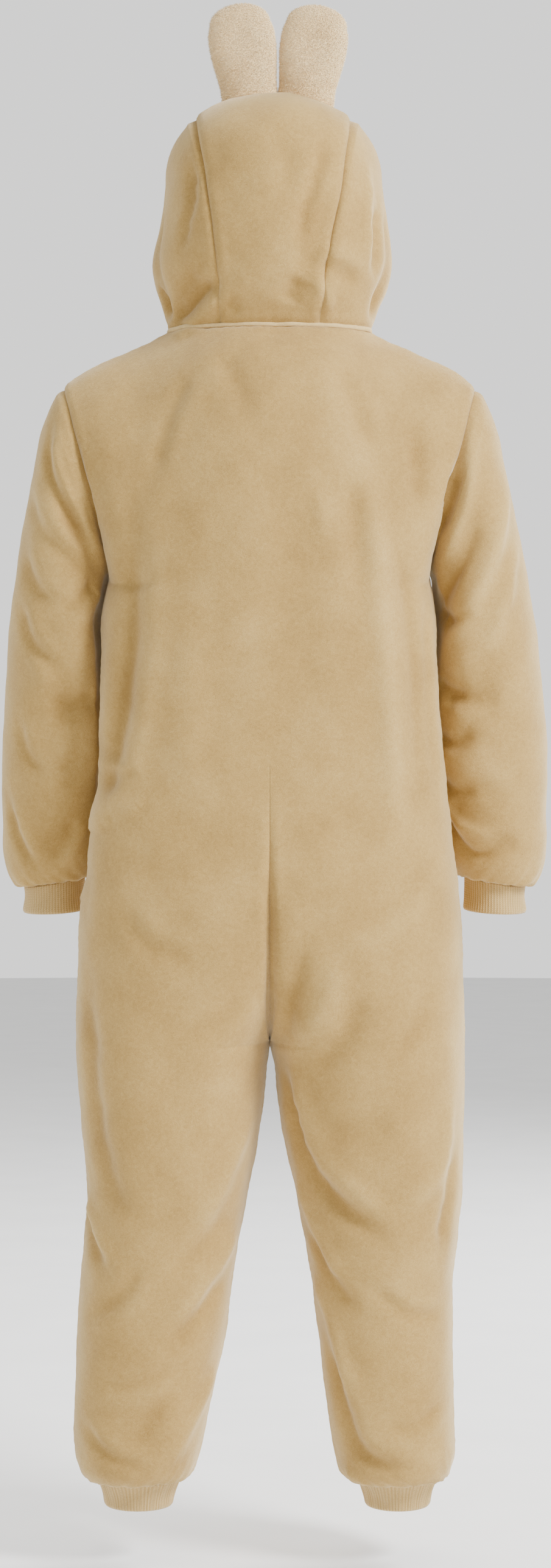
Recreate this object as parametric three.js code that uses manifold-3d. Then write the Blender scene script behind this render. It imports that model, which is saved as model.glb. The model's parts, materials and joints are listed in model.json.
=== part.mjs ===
// A hooded plush onesie with two round stuffed ears, as it stands when it is worn: an open,
// hollow garment of flannel fleece with rib-knit cuffs and a centre-front zip.
// Units are millimetres, +Z is up and the garment faces -Y, so +X is the wearer's left.
// The origin is where the wearer holds it up: level with the nape seam, between the shoulders.
import * as THREE from "three";
import { mergeVertices } from "three/addons/utils/BufferGeometryUtils.js";
import ManifoldModule from "manifold-3d";

// Cloth and seams
const FLEECE_WALL = 3;
const RIB_WALL = 2.4;
const SEAM_GAP = 0.32;
const ZIP_HALF = 4.35;
const ZIP_EASE = 0.08;
const CHAIN_WALL = 2.4;

// Heights of the driving seams
const NAPE_Z = 0;
const UNDERARM_Z = -285;
const YOKE_END_Z = -315;
const RISE_TOP_Z = -521;
const RISE_SPREAD_Z = -560;
const ZIP_FOOT_Z = -650;
const SEAT_TOP_Z = -692;
const CROTCH_Z = -860;
const THIGH_Z = -895;
const LEG_HEM_Z = -1392;
const ANKLE_CUFF_END_Z = -1424;

// Neckline, shoulders and armholes
const NECK_HALF = 123;
const NECK_BACK_Y = 62;
const NECK_FRONT_Y = -92;
const NECK_FRONT_Z = -78;
const SHOULDER_TIP = new THREE.Vector3(251, -3, -70);
const SHOULDER_ARCH = 7;
const UNDERARM = new THREE.Vector3(192, -3, UNDERARM_Z);
const ARMHOLE_BACK_DEPTH = 64;
const ARMHOLE_FRONT_DEPTH = 70;

// How many cells the panels have
const NECK_COLUMNS = 6;
const SHOULDER_COLUMNS = 4;
const PANEL_COLUMNS = NECK_COLUMNS + SHOULDER_COLUMNS;
const YOKE_ROWS = 8;
const YOKE_SLOPE_FROM = 0.5;
const YOKE_PULL_FROM = 0.42;
const STRIP_HALF_COLUMNS = 3;
const HOOD_ROWS = 16;

// Fullness is the exponent of a section's curve: 2 is an ellipse, and more is squarer.
const BACK_FULLNESS = 2.35;
const FRONT_FULLNESS = 1.85;
const SLEEVE_FULLNESS = 2.15;

// Half of the body and one leg, a row for each section. outer and inner are the edges of the
// wearer's left and right side from the centre line, and inner starts below the crotch.
const BODY_SECTIONS = [
  { z: -285, outerLeft: 192, outerRight: 192, innerLeft: 0, innerRight: 0, sideY: -3, backY: 139, frontY: -132 },
  { z: -345, outerLeft: 201, outerRight: 199, innerLeft: 0, innerRight: 0, sideY: 24, backY: 139, frontY: -139 },
  { z: -411, outerLeft: 202, outerRight: 200, innerLeft: 0, innerRight: 0, sideY: 40, backY: 136, frontY: -137 },
  { z: -485, outerLeft: 204, outerRight: 206, innerLeft: 0, innerRight: 0, sideY: 44, backY: 135, frontY: -145 },
  { z: -559, outerLeft: 210, outerRight: 212, innerLeft: 0, innerRight: 0, sideY: 42, backY: 139, frontY: -146 },
  { z: -633, outerLeft: 218, outerRight: 221, innerLeft: 0, innerRight: 0, sideY: 38, backY: 144, frontY: -144 },
  { z: -707, outerLeft: 228, outerRight: 229, innerLeft: 0, innerRight: 0, sideY: 30, backY: 146, frontY: -141 },
  { z: -781, outerLeft: 232, outerRight: 233, innerLeft: 0, innerRight: 0, sideY: 20, backY: 141, frontY: -143 },
  { z: -860, outerLeft: 234, outerRight: 234, innerLeft: 0, innerRight: 0, sideY: 10, backY: 132, frontY: -134 },
  { z: -890, outerLeft: 233, outerRight: 235, innerLeft: 4, innerRight: 7, sideY: 8, backY: 129, frontY: -131 },
  { z: -944, outerLeft: 229, outerRight: 235, innerLeft: 10, innerRight: 13, sideY: 6, backY: 124, frontY: -127 },
  { z: -1003, outerLeft: 223, outerRight: 234, innerLeft: 18, innerRight: 23, sideY: 5, backY: 118, frontY: -121 },
  { z: -1032, outerLeft: 221, outerRight: 233, innerLeft: 24, innerRight: 30, sideY: 5, backY: 114, frontY: -118 },
  { z: -1092, outerLeft: 224, outerRight: 228, innerLeft: 36, innerRight: 41, sideY: 5, backY: 109, frontY: -111 },
  { z: -1151, outerLeft: 228, outerRight: 222, innerLeft: 46, innerRight: 52, sideY: 5, backY: 104, frontY: -104 },
  { z: -1210, outerLeft: 232, outerRight: 221, innerLeft: 54, innerRight: 59, sideY: 5, backY: 99, frontY: -98 },
  { z: -1269, outerLeft: 235, outerRight: 222, innerLeft: 65, innerRight: 66, sideY: 5, backY: 94, frontY: -92 },
  { z: -1328, outerLeft: 236, outerRight: 224, innerLeft: 78, innerRight: 75, sideY: 5, backY: 90, frontY: -86 },
  { z: -1358, outerLeft: 235, outerRight: 224, innerLeft: 85, innerRight: 80, sideY: 5, backY: 88, frontY: -82 },
  { z: -1378, outerLeft: 231, outerRight: 220, innerLeft: 91, innerRight: 84, sideY: 5, backY: 83, frontY: -77 },
  { z: -1387, outerLeft: 224, outerRight: 215, innerLeft: 97, innerRight: 91, sideY: 5, backY: 75, frontY: -68 },
  { z: -1392, outerLeft: 213, outerRight: 207, innerLeft: 105, innerRight: 103, sideY: 5, backY: 64, frontY: -56 },
];

// Heights of the panels' rows below the yoke. The rows crowd round the crotch curve and the hem.
const TORSO_ROWS = [
  -350, -392, -435, -478, RISE_TOP_Z, -565, -608, ZIP_FOOT_Z, ZIP_FOOT_Z - 6, -692, -727, -760, -788, -812, -832,
  -846, -855, CROTCH_Z,
];
const LEG_ROWS = [
  -872, -895, -925, -962, -1002, -1044, -1088, -1132, -1176, -1220, -1264, -1306, -1342, -1366, -1381, -1388,
  LEG_HEM_Z,
];

// One sleeve as slanting rings, a row for each. The outer and inner edges are seen from behind,
// spread is how much of the side's own reach the ring takes, and lean tips the ring back.
const SLEEVE_RINGS = [
  { outerX: 251, outerZ: -70, innerX: 192, innerZ: -285, centreY: -3, depth: 67, lean: 0, spread: 0 },
  { outerX: 265, outerZ: -90, innerX: 196, innerZ: -300, centreY: -6, depth: 72, lean: 0, spread: 0 },
  { outerX: 279, outerZ: -127, innerX: 197, innerZ: -316, centreY: -10, depth: 76, lean: 0, spread: 0 },
  { outerX: 291, outerZ: -180, innerX: 197, innerZ: -340, centreY: -15, depth: 79, lean: 0, spread: 0.1 },
  { outerX: 303, outerZ: -240, innerX: 196, innerZ: -370, centreY: -20, depth: 80, lean: 0.01, spread: 0.2 },
  { outerX: 315, outerZ: -302, innerX: 195, innerZ: -405, centreY: -25, depth: 80, lean: 0.02, spread: 0.4 },
  { outerX: 325, outerZ: -364, innerX: 195, innerZ: -442, centreY: -30, depth: 79, lean: 0.03, spread: 0.6 },
  { outerX: 332, outerZ: -424, innerX: 196, innerZ: -482, centreY: -36, depth: 77, lean: 0.04, spread: 0.8 },
  { outerX: 337, outerZ: -482, innerX: 198, innerZ: -523, centreY: -42, depth: 74, lean: 0.06, spread: 1 },
  { outerX: 339, outerZ: -538, innerX: 202, innerZ: -563, centreY: -48, depth: 71, lean: 0.08, spread: 1 },
  { outerX: 338, outerZ: -586, innerX: 207, innerZ: -599, centreY: -54, depth: 68, lean: 0.1, spread: 1 },
  { outerX: 338, outerZ: -626, innerX: 213, innerZ: -628, centreY: -59, depth: 63, lean: 0.1, spread: 1 },
  { outerX: 335, outerZ: -652, innerX: 220, innerZ: -648, centreY: -62, depth: 56, lean: 0.1, spread: 1 },
  { outerX: 327, outerZ: -670, innerX: 228, innerZ: -659, centreY: -64, depth: 48, lean: 0.1, spread: 1 },
  { outerX: 315, outerZ: -677, innerX: 237, innerZ: -663, centreY: -65, depth: 39, lean: 0.1, spread: 1 },
];
const ARM_REACH = { left: -10, right: 2 };
const BODY_CLEARANCE = 7;

// Rib-knit cuffs
const WRIST_CUFF = { seamDrop: -0.1, drop: 36, ribs: 36, ribHeight: 1, topInset: 1.5, waist: 1.5, footInset: -1 };
const ANKLE_CUFF = { seamDrop: 0.5, drop: LEG_HEM_Z - ANKLE_CUFF_END_Z, ribs: 40, ribHeight: 1, topInset: 1.5, waist: 2.5, footInset: 12 };
const WRIST_FORE_LEAN = 0.1;

// The hood as a head-sized form, a row for each level section, closed above its shoulder by a
// crown. The face is cut out of the form, so frontY lies well before the cut.
const HOOD_SECTIONS = [
  { z: -78, half: 96, widestY: -30, backY: 50, frontY: -94 },
  { z: -40, half: 112, widestY: -24, backY: 55, frontY: -100 },
  { z: 0, half: 124, widestY: -18, backY: 64, frontY: -112 },
  { z: 30, half: 131, widestY: -26, backY: 86, frontY: -132 },
  { z: 60, half: 142, widestY: -34, backY: 102, frontY: -148 },
  { z: 90, half: 146, widestY: -34, backY: 112, frontY: -156 },
  { z: 125, half: 141, widestY: -26, backY: 118, frontY: -160 },
  { z: 181, half: 131, widestY: -12, backY: 117, frontY: -160 },
];
const CROWN_BASE_Z = 181;
const CROWN_HEIGHT = 106;
const CROWN_FULLNESS = 2.15;
const HOOD_FULLNESS = 2.2;
const HOOD_CORE = new THREE.Vector3(0, -8, 118);
const HOOD_LEANS = [
  { z: 0, shift: 0 },
  { z: 60, shift: -2 },
  { z: 150, shift: -5.5 },
  { z: 220, shift: -4.5 },
  { z: 287, shift: -4 },
];
const HOOD_SETTLE_ROWS = 5;
const STRIP_PULL = 2.2;

// The hood's centre strip from the nape to the forehead. turn is the angle round the head.
const STRIP_WIDTHS = [
  { turn: -60, half: 60 },
  { turn: -20, half: 68 },
  { turn: 5, half: 76 },
  { turn: 30, half: 84 },
  { turn: 60, half: 93 },
  { turn: 90, half: 94 },
  { turn: 122, half: 84 },
];

const FOREHEAD_TURN = 117;
const FOREHEAD_CURVE = 8;

// The hem of the face opening, from the forehead end of the strip seam to the chin
const FACE_EDGE = [
  { x: 86, y: -92, z: 226 },
  { x: 110, y: -91, z: 184 },
  { x: 126, y: -90, z: 136 },
  { x: 133, y: -89, z: 88 },
  { x: 122, y: -90, z: 42 },
  { x: 92, y: -94, z: 6 },
  { x: 50, y: -100, z: -18 },
  { x: ZIP_HALF, y: -104, z: -28 },
];

// Stuffed ears: the outline of one ear from its seam up, and where each ear stands
const EAR_OUTLINE = [
  { height: 0, half: 33.5 },
  { height: 15, half: 34 },
  { height: 32, half: 36.5 },
  { height: 49, half: 39 },
  { height: 64, half: 40 },
  { height: 79, half: 39.5 },
  { height: 92, half: 36 },
  { height: 102.5, half: 29.5 },
  { height: 110, half: 20 },
  { height: 113.5, half: 9 },
];
const EARS = [
  { side: "left", footX: 24, tilt: 0.14 },
  { side: "right", footX: -43.5, tilt: -0.15 },
];
const EAR_FOOT_Y = 2;
const EAR_PUFF = 13.5;
const EAR_EDGE = 1.3;
const EAR_DENT = 3.5;
const EAR_DENT_HEIGHT = 70;
const EAR_DENT_REACH = 24;
const EAR_COLUMNS = 6;
const EAR_SEAT = 1.2;

// Zip slider and pull
const SLIDER_Z = -46;
const SLIDER = { width: 9.5, height: 13, depth: 2.6, corner: 2.5 };
const BRIDGE = { width: 2.6, reach: 5.2, span: 9, bar: 1.4 };
const PULL = {
  width: 9, length: 27, depth: 1.6, neck: 3.4, shoulder: 3, bar: 1.6, slotHalf: 2.2, slotFoot: 6.4, pivotOut: 2.1,
};

// The largest folds of the cloth, a row for each: a line on the back or front of the garment
// from (x, z) to (endX, endZ), with the half-width of its round profile and its height.
const BODY_FOLDS = [
  { on: "back", x: 190, z: -120, endX: 176, endZ: -290, width: 16, height: -6 },
  { on: "back", x: -188, z: -120, endX: -174, endZ: -280, width: 16, height: -6 },
  { on: "back", x: 142, z: -235, endX: 152, endZ: -470, width: 20, height: -8 },
  { on: "back", x: 152, z: -470, endX: 190, endZ: -660, width: 18, height: -6 },
  { on: "back", x: -132, z: -230, endX: -140, endZ: -560, width: 22, height: 6 },
  { on: "back", x: -104, z: -260, endX: -112, endZ: -430, width: 18, height: -4 },
  { on: "back", x: 0, z: -300, endX: 0, endZ: -470, width: 48, height: -5 },
  { on: "back", x: -40, z: -905, endX: -100, endZ: -1060, width: 18, height: -10 },
  { on: "back", x: -100, z: -1060, endX: -165, endZ: -1110, width: 20, height: -7 },
  { on: "back", x: -205, z: -960, endX: -190, endZ: -1110, width: 18, height: -7 },
  { on: "back", x: -55, z: -1010, endX: -90, endZ: -1150, width: 15, height: 6 },
  { on: "back", x: -75, z: -1170, endX: -100, endZ: -1300, width: 14, height: -6 },
  { on: "back", x: -100, z: -1300, endX: -190, endZ: -1350, width: 16, height: -7 },
  { on: "back", x: 205, z: -1020, endX: 180, endZ: -1110, width: 14, height: -8 },
  { on: "back", x: 60, z: -1010, endX: 140, endZ: -1100, width: 18, height: -6 },
  { on: "back", x: 50, z: -1090, endX: 105, endZ: -1200, width: 15, height: 6 },
  { on: "back", x: 78, z: -1210, endX: 130, endZ: -1320, width: 14, height: -5 },
  { on: "front", x: 120, z: -250, endX: 96, endZ: -560, width: 22, height: -7 },
  { on: "front", x: -112, z: -270, endX: -100, endZ: -590, width: 22, height: -7 },
  { on: "front", x: 62, z: -520, endX: 120, endZ: -760, width: 24, height: 6 },
  { on: "front", x: -66, z: -540, endX: -128, endZ: -780, width: 24, height: 6 },
  { on: "front", x: 46, z: -905, endX: 130, endZ: -1010, width: 18, height: -8 },
  { on: "front", x: -44, z: -915, endX: -125, endZ: -1030, width: 18, height: -8 },
  { on: "front", x: 70, z: -1150, endX: 150, endZ: -1240, width: 16, height: -6 },
  { on: "front", x: -74, z: -1130, endX: -150, endZ: -1230, width: 16, height: -6 },
  { on: "front", x: 190, z: -1250, endX: 120, endZ: -1340, width: 15, height: 5 },
  { on: "front", x: -185, z: -1260, endX: -115, endZ: -1340, width: 15, height: 5 },
];
const RISE_CALM = 26;

// Folds of the sleeves: a line from one ring and turn to another. A turn of 0 is the outer edge,
// 0.25 the back, 0.5 the underarm and 0.75 the front.
const SLEEVE_FOLDS = [
  { ring: 1.5, turn: 0.22, endRing: 5, endTurn: 0.4, width: 15, height: -7 },
  { ring: 2.5, turn: 0.12, endRing: 6.5, endTurn: 0.33, width: 17, height: 6 },
  { ring: 4, turn: 0.08, endRing: 7.5, endTurn: 0.3, width: 15, height: -5 },
  { ring: 6.2, turn: 0.4, endRing: 7.2, endTurn: 0.22, width: 17, height: -8 },
  { ring: 7.6, turn: 0.42, endRing: 9, endTurn: 0.2, width: 15, height: 5 },
  { ring: 9, turn: 0.4, endRing: 11, endTurn: 0.2, width: 13, height: -6 },
  { ring: 2.5, turn: 0.8, endRing: 6, endTurn: 0.62, width: 17, height: -7 },
  { ring: 7, turn: 0.66, endRing: 8.5, endTurn: 0.86, width: 16, height: -7 },
  { ring: 9.5, turn: 0.9, endRing: 11.2, endTurn: 0.7, width: 14, height: 5 },
];

// Folds of the hood: a line from one level and turn to another. A turn of 0 is the centre back
// and 1 the side; minus is the wearer's right.
const HOOD_FOLDS = [
  { z: 0, turn: 0.93, endZ: 150, endTurn: 0.95, width: 15, height: -12 },
  { z: 0, turn: -0.93, endZ: 150, endTurn: -0.95, width: 15, height: -12 },
  { z: 60, turn: 0.5, endZ: 10, endTurn: 0.85, width: 12, height: -6 },
  { z: 150, turn: -0.35, endZ: 30, endTurn: -0.22, width: 18, height: -5 },
];

const SIDES = ["left", "right"];
const signOf = (side) => (side === "left" ? 1 : -1);
const mix = (a, b, t) => a + (b - a) * t;
const smooth = (t) => {
  const k = Math.min(1, Math.max(0, t));
  return k * k * (3 - 2 * k);
};

// The value of one column of a table at a place between its rows, on a smooth curve through them.
function columnAt(table, key, column, place) {
  const rising = table[0][key] < table[table.length - 1][key];
  const rows = rising ? table : [...table].reverse();
  const clamped = Math.min(rows[rows.length - 1][key], Math.max(rows[0][key], place));
  let i = 0;
  while (i < rows.length - 2 && rows[i + 1][key] < clamped) i += 1;
  const slope = (k) => {
    const before = rows[Math.max(0, k - 1)];
    const after = rows[Math.min(rows.length - 1, k + 1)];
    return (after[column] - before[column]) / (after[key] - before[key]);
  };
  const span = rows[i + 1][key] - rows[i][key];
  const t = (clamped - rows[i][key]) / span;
  const low = rows[i][column];
  const high = rows[i + 1][column];
  const t2 = t * t;
  const t3 = t2 * t;
  return (
    low * (2 * t3 - 3 * t2 + 1) +
    high * (3 * t2 - 2 * t3) +
    slope(i) * span * (t3 - 2 * t2 + t) +
    slope(i + 1) * span * (t3 - t2)
  );
}

// The running length along a line of points.
function runningLength(points) {
  const run = [0];
  for (let i = 1; i < points.length; i += 1) run.push(run[i - 1] + points[i].distanceTo(points[i - 1]));
  return run;
}

// Points along a line of points at equal steps, or with the first half of them a set step apart.
function evenly(points, count, firstStep = null) {
  const run = runningLength(points);
  const total = run[run.length - 1];
  const half = count / 2;
  const made = [];
  for (let k = 0; k <= count; k += 1) {
    let want = (total * k) / count;
    if (firstStep !== null) {
      want = k <= half ? firstStep * k : mix(firstStep * half, total, (k - half) / (count - half));
    }
    let i = 1;
    while (i < run.length - 1 && run[i] < want) i += 1;
    made.push(points[i - 1].clone().lerp(points[i], (want - run[i - 1]) / (run[i] - run[i - 1])));
  }
  return made;
}

// One half of a level section through the body, or through a leg below the crotch.
function halfSection(side, z) {
  const at = (column) => columnAt(BODY_SECTIONS, "z", column, z);
  const outer = at(side === "left" ? "outerLeft" : "outerRight");
  const inner = z < CROTCH_Z ? Math.max(0.5, at(side === "left" ? "innerLeft" : "innerRight")) : 0;
  const spread = Math.min(1, Math.max(0, (RISE_SPREAD_Z - z) / (RISE_SPREAD_Z - CROTCH_Z))) ** 1.4;
  const legHalf = columnAt(BODY_SECTIONS, "z", "outerLeft", CROTCH_Z) / 2;
  const centreX = z < CROTCH_Z ? (outer + inner) / 2 : legHalf * spread;
  return {
    centreX,
    outerHalf: outer - centreX,
    innerHalf: z < CROTCH_Z ? centreX - inner : legHalf,
    share: z < CROTCH_Z ? 1 : spread,
    sideY: at("sideY"),
    backY: at("backY"),
    frontY: at("frontY"),
  };
}

// The section's line from the side seam round the back or front to the centre line or inseam.
function sectionLine(side, face, z) {
  const steps = 40;
  const s = halfSection(side, z);
  const fullness = face === "back" ? BACK_FULLNESS : FRONT_FULLNESS;
  const reach = (face === "back" ? s.backY : s.frontY) - s.sideY;
  const end = Math.acos(-(s.share ** (fullness / 2)));
  const line = [];
  for (let i = 0; i <= steps; i += 1) {
    const angle = (end * i) / steps;
    const across = Math.cos(angle);
    const half = across > 0 ? s.outerHalf : s.innerHalf;
    const x = s.centreX + Math.sign(across) * half * Math.abs(across) ** (2 / fullness);
    const y = s.sideY + reach * Math.sin(angle) ** (2 / fullness);
    line.push(new THREE.Vector3(signOf(side) * Math.max(0, x), y, z));
  }
  return line;
}

// A level row of a panel from the side seam. Round the crotch the outer half keeps its spacing.
function panelRow(side, face, z) {
  const line = sectionLine(side, face, z);
  if (z >= SEAT_TOP_Z || z <= THIGH_Z) return evenly(line, PANEL_COLUMNS);
  const length = (level) => runningLength(sectionLine(side, face, level)).pop();
  const share = (SEAT_TOP_Z - z) / (SEAT_TOP_Z - THIGH_Z);
  return evenly(line, PANEL_COLUMNS, mix(length(SEAT_TOP_Z), length(THIGH_Z), share) / PANEL_COLUMNS);
}

// How far the body's side reaches at a height and depth, for the sleeve that rests against it.
function bodyReach(side, y, z) {
  const s = halfSection(side, Math.min(UNDERARM_Z, z));
  const behind = y > s.sideY;
  const fullness = behind ? BACK_FULLNESS : FRONT_FULLNESS;
  const depth = Math.abs(y - s.sideY) / Math.abs((behind ? s.backY : s.frontY) - s.sideY);
  return s.centreX + s.outerHalf * Math.max(0, 1 - depth ** fullness) ** (1 / fullness);
}

// The neck seam from the centre back round one side to the centre front.
function neckLine(side) {
  const backXs = [0, 20, 40, 60, 85, 107, NECK_HALF];
  const back = backXs.map(
    (x) => new THREE.Vector3(signOf(side) * x, NECK_BACK_Y * Math.sqrt(1 - (x / NECK_HALF) ** 2), NAPE_Z),
  );
  const front = [];
  for (let i = 0; i <= NECK_COLUMNS; i += 1) {
    const angle = (Math.PI / 2) * (i / NECK_COLUMNS);
    front.push(
      new THREE.Vector3(
        signOf(side) * mix(ZIP_HALF, NECK_HALF, Math.cos(angle)),
        NECK_FRONT_Y * Math.sin(angle),
        mix(NAPE_Z, NECK_FRONT_Z, 1 - Math.cos(angle)),
      ),
    );
  }
  return { back, front };
}

// The ring of one sleeve at a station, from the outer edge round the back, underarm and front.
function sleeveRing(side, station, turns) {
  const at = (column) => {
    const low = Math.min(SLEEVE_RINGS.length - 2, Math.floor(station));
    return mix(SLEEVE_RINGS[low][column], SLEEVE_RINGS[low + 1][column], station - low);
  };
  const reach = ARM_REACH[side] * at("spread");
  const outer = new THREE.Vector3(at("outerX") + reach, 0, at("outerZ"));
  const inner = new THREE.Vector3(at("innerX") + reach, 0, at("innerZ"));
  const half = outer.distanceTo(inner) / 2;
  const across = outer.clone().sub(inner).normalize();
  const centre = outer.clone().add(inner).multiplyScalar(0.5);
  centre.y = at("centreY");
  const firstRing = Math.max(0, 1 - station);
  return turns.map((turn) => {
    const angle = 2 * Math.PI * turn;
    const power = 2 / SLEEVE_FULLNESS;
    const c = Math.sign(Math.cos(angle)) * Math.abs(Math.cos(angle)) ** power;
    const s = Math.sign(Math.sin(angle)) * Math.abs(Math.sin(angle)) ** power;
    const armhole = s > 0 ? ARMHOLE_BACK_DEPTH : ARMHOLE_FRONT_DEPTH;
    const depth = mix(at("depth"), armhole, firstRing) * s;
    const point = centre.clone().addScaledVector(across, half * c);
    point.y += depth;
    point.z -= depth * at("lean");
    const clearance = BODY_CLEARANCE * Math.min(1, station / 1.5);
    if (point.z < UNDERARM_Z) point.x = Math.max(point.x, bodyReach(side, point.y, point.z) + clearance);
    point.x *= signOf(side);
    return point;
  });
}

const ringTurns = (count) => Array.from({ length: count }, (_, i) => i / count);

// A grid of points for the left or right half of the back or front, from the neck and shoulder
// down to the leg's hem. Column 0 is the centre line, and the last is the armhole and side seam.
function halfPanel(side, face) {
  const neck = neckLine(side)[face];
  const top = face === "back" ? neck : [...neck].reverse();
  const tip = SHOULDER_TIP.clone();
  tip.x *= signOf(side);
  for (let i = 1; i <= SHOULDER_COLUMNS; i += 1) {
    const point = neck[face === "back" ? NECK_COLUMNS : 0].clone().lerp(tip, i / SHOULDER_COLUMNS);
    point.z += SHOULDER_ARCH * Math.sin(Math.PI * (i / SHOULDER_COLUMNS) ** 2);
    top.push(point);
  }
  const facing = face === "back" ? 1 : -1;
  const armholeTurn = (row) => (facing > 0 ? 0.5 * (row / YOKE_ROWS) : 1 - 0.5 * (row / YOKE_ROWS));
  const paths = top.map((start, column) => {
    const share = column / PANEL_COLUMNS;
    const footZ = mix(YOKE_END_Z, UNDERARM_Z, share ** 12);
    const foot = panelRow(side, face, footZ)[PANEL_COLUMNS - column];
    const out = smooth((share - YOKE_SLOPE_FROM) / (1 - YOKE_SLOPE_FROM));
    const lead = new THREE.Vector3(0, facing * mix(0.82, 1, out), mix(-0.58, -0.12, out));
    const first = start.clone().addScaledVector(lead, mix(92, 48, out));
    const last = foot.clone().add(new THREE.Vector3(0, 0, (start.z - foot.z) * 0.4));
    return new THREE.CubicBezierCurve3(start, first, last, foot);
  });
  const rows = [];
  for (let row = 0; row <= YOKE_ROWS; row += 1) {
    const step = row / YOKE_ROWS;
    const armhole = sleeveRing(side, 0, [armholeTurn(row)])[0];
    const pull = armhole.clone().sub(paths[PANEL_COLUMNS].getPoint(step));
    rows.push(
      paths.map((path, column) => {
        const near = smooth((column / PANEL_COLUMNS - YOKE_PULL_FROM) / (1 - YOKE_PULL_FROM));
        return column === PANEL_COLUMNS ? armhole : path.getPoint(step).addScaledVector(pull, near);
      }),
    );
  }
  for (const z of [...TORSO_ROWS, ...LEG_ROWS]) {
    rows.push(panelRow(side, face, z).reverse());
  }
  for (const row of rows) {
    const zipped = face === "front" && row[0].z >= ZIP_FOOT_Z;
    if (zipped) row[0].x = signOf(side) * ZIP_HALF;
  }
  return rows;
}

// Half-width, depth and place of the hood's form at one height.
function hoodSection(z) {
  const at = (column) => columnAt(HOOD_SECTIONS, "z", column, Math.min(CROWN_BASE_Z, z));
  const rise = Math.max(0, (z - CROWN_BASE_Z) / CROWN_HEIGHT);
  const close = Math.max(1e-6, 1 - rise ** CROWN_FULLNESS) ** (1 / CROWN_FULLNESS);
  return {
    half: at("half") * close,
    widestY: at("widestY") * close,
    backY: at("backY") * close,
    frontY: at("frontY") * close,
  };
}

function outsideHood(p) {
  if (p.z >= CROWN_BASE_Z + CROWN_HEIGHT) return true;
  const s = hoodSection(p.z);
  const reach = p.y > s.widestY ? s.backY - s.widestY : s.widestY - s.frontY;
  return (Math.abs(p.x) / s.half) ** HOOD_FULLNESS + (Math.abs(p.y - s.widestY) / reach) ** HOOD_FULLNESS > 1;
}

// The point of the hood's form on a line away from the middle of the head.
function hoodPoint(direction, start = HOOD_CORE) {
  let near = 20;
  let far = 320;
  for (let i = 0; i < 40; i += 1) {
    const middle = (near + far) / 2;
    if (outsideHood(start.clone().addScaledVector(direction, middle))) far = middle;
    else near = middle;
  }
  return start.clone().addScaledVector(direction, near);
}

const towards = (point) => point.clone().sub(HOOD_CORE).normalize();
const leaned = (point) => new THREE.Vector3(point.x + columnAt(HOOD_LEANS, "z", "shift", point.z), point.y, point.z);

// A point of the hood's centre strip, at a turn round the head and a share of its half-width.
function stripPoint(turn, share) {
  const width = columnAt(STRIP_WIDTHS, "turn", "half", turn) * share;
  const angle = THREE.MathUtils.degToRad(turn);
  const start = HOOD_CORE.clone().add(new THREE.Vector3(width, 0, 0));
  return hoodPoint(new THREE.Vector3(0, Math.cos(angle), Math.sin(angle)), start);
}

const stripTurn = (row, share) => mix(STRIP_WIDTHS[0].turn, FOREHEAD_TURN + FOREHEAD_CURVE * share * share, row / HOOD_ROWS);
const settled = (row) => 1 - smooth(row / HOOD_SETTLE_ROWS);

// A column of the hood's centre strip, from the nape to the forehead.
function stripColumn(column) {
  const neck = neckLine(column < 0 ? "right" : "left").back[Math.abs(column)];
  const share = column / STRIP_HALF_COLUMNS;
  const shift = neck.clone().sub(stripPoint(stripTurn(0, share), share));
  const points = [];
  for (let row = 0; row <= HOOD_ROWS; row += 1) {
    points.push(stripPoint(stripTurn(row, share), share).addScaledVector(shift, settled(row)));
  }
  points[0] = neck;
  return points;
}

// The hood's centre strip: rows from the nape to the forehead, columns from right to left.
function stripGrid() {
  const columns = [];
  for (let column = -STRIP_HALF_COLUMNS; column <= STRIP_HALF_COLUMNS; column += 1) {
    columns.push(stripColumn(column).map(leaned));
  }
  return columns[0].map((_, row) => columns.map((column) => column[row]));
}

// One side of the hood: rows from the neck seam to the face hem, columns from strip to zip.
function hoodSideGrid(side) {
  const sign = signOf(side);
  const neck = neckLine(side);
  const neckSeam = [...neck.back.slice(STRIP_HALF_COLUMNS), ...neck.front.slice(1)];
  const last = neckSeam.length - 1;
  const edge = FACE_EDGE.map((p) => new THREE.Vector3(sign * p.x, p.y, p.z));
  const faceHem = evenly(new THREE.CatmullRomCurve3(edge).getPoints(80), last);
  const stripSeam = stripColumn(sign * STRIP_HALF_COLUMNS);
  const chin = stripSeam.map((_, row) => neckSeam[last].clone().lerp(edge[edge.length - 1], row / HOOD_ROWS));
  const [strip, zip, foot, hem] = [stripSeam, chin, neckSeam, faceHem].map((line) => line.map(towards));
  hem[0] = strip[HOOD_ROWS];
  hem[last] = zip[HOOD_ROWS];
  const aimed = (row, column) => {
    const s = row / HOOD_ROWS;
    const t = column / last;
    const aim = foot[column].clone().lerp(hem[column], s);
    aim.addScaledVector(strip[row].clone().sub(strip[0].clone().lerp(strip[HOOD_ROWS], s)), (1 - t) ** STRIP_PULL);
    aim.addScaledVector(zip[row].clone().sub(zip[0].clone().lerp(zip[HOOD_ROWS], s)), t ** STRIP_PULL);
    return hoodPoint(aim.normalize());
  };
  const shifts = neckSeam.map((point, column) => point.clone().sub(aimed(0, column)));
  return stripSeam.map((_, row) =>
    neckSeam.map((seamPoint, column) => {
      if (column === 0) return leaned(stripSeam[row]);
      if (row === 0) return seamPoint;
      const free = aimed(row, column).addScaledVector(shifts[column], settled(row));
      return leaned(free.lerp(chin[row], smooth(1 - (last - column) / 2)));
    }),
  );
}

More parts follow.
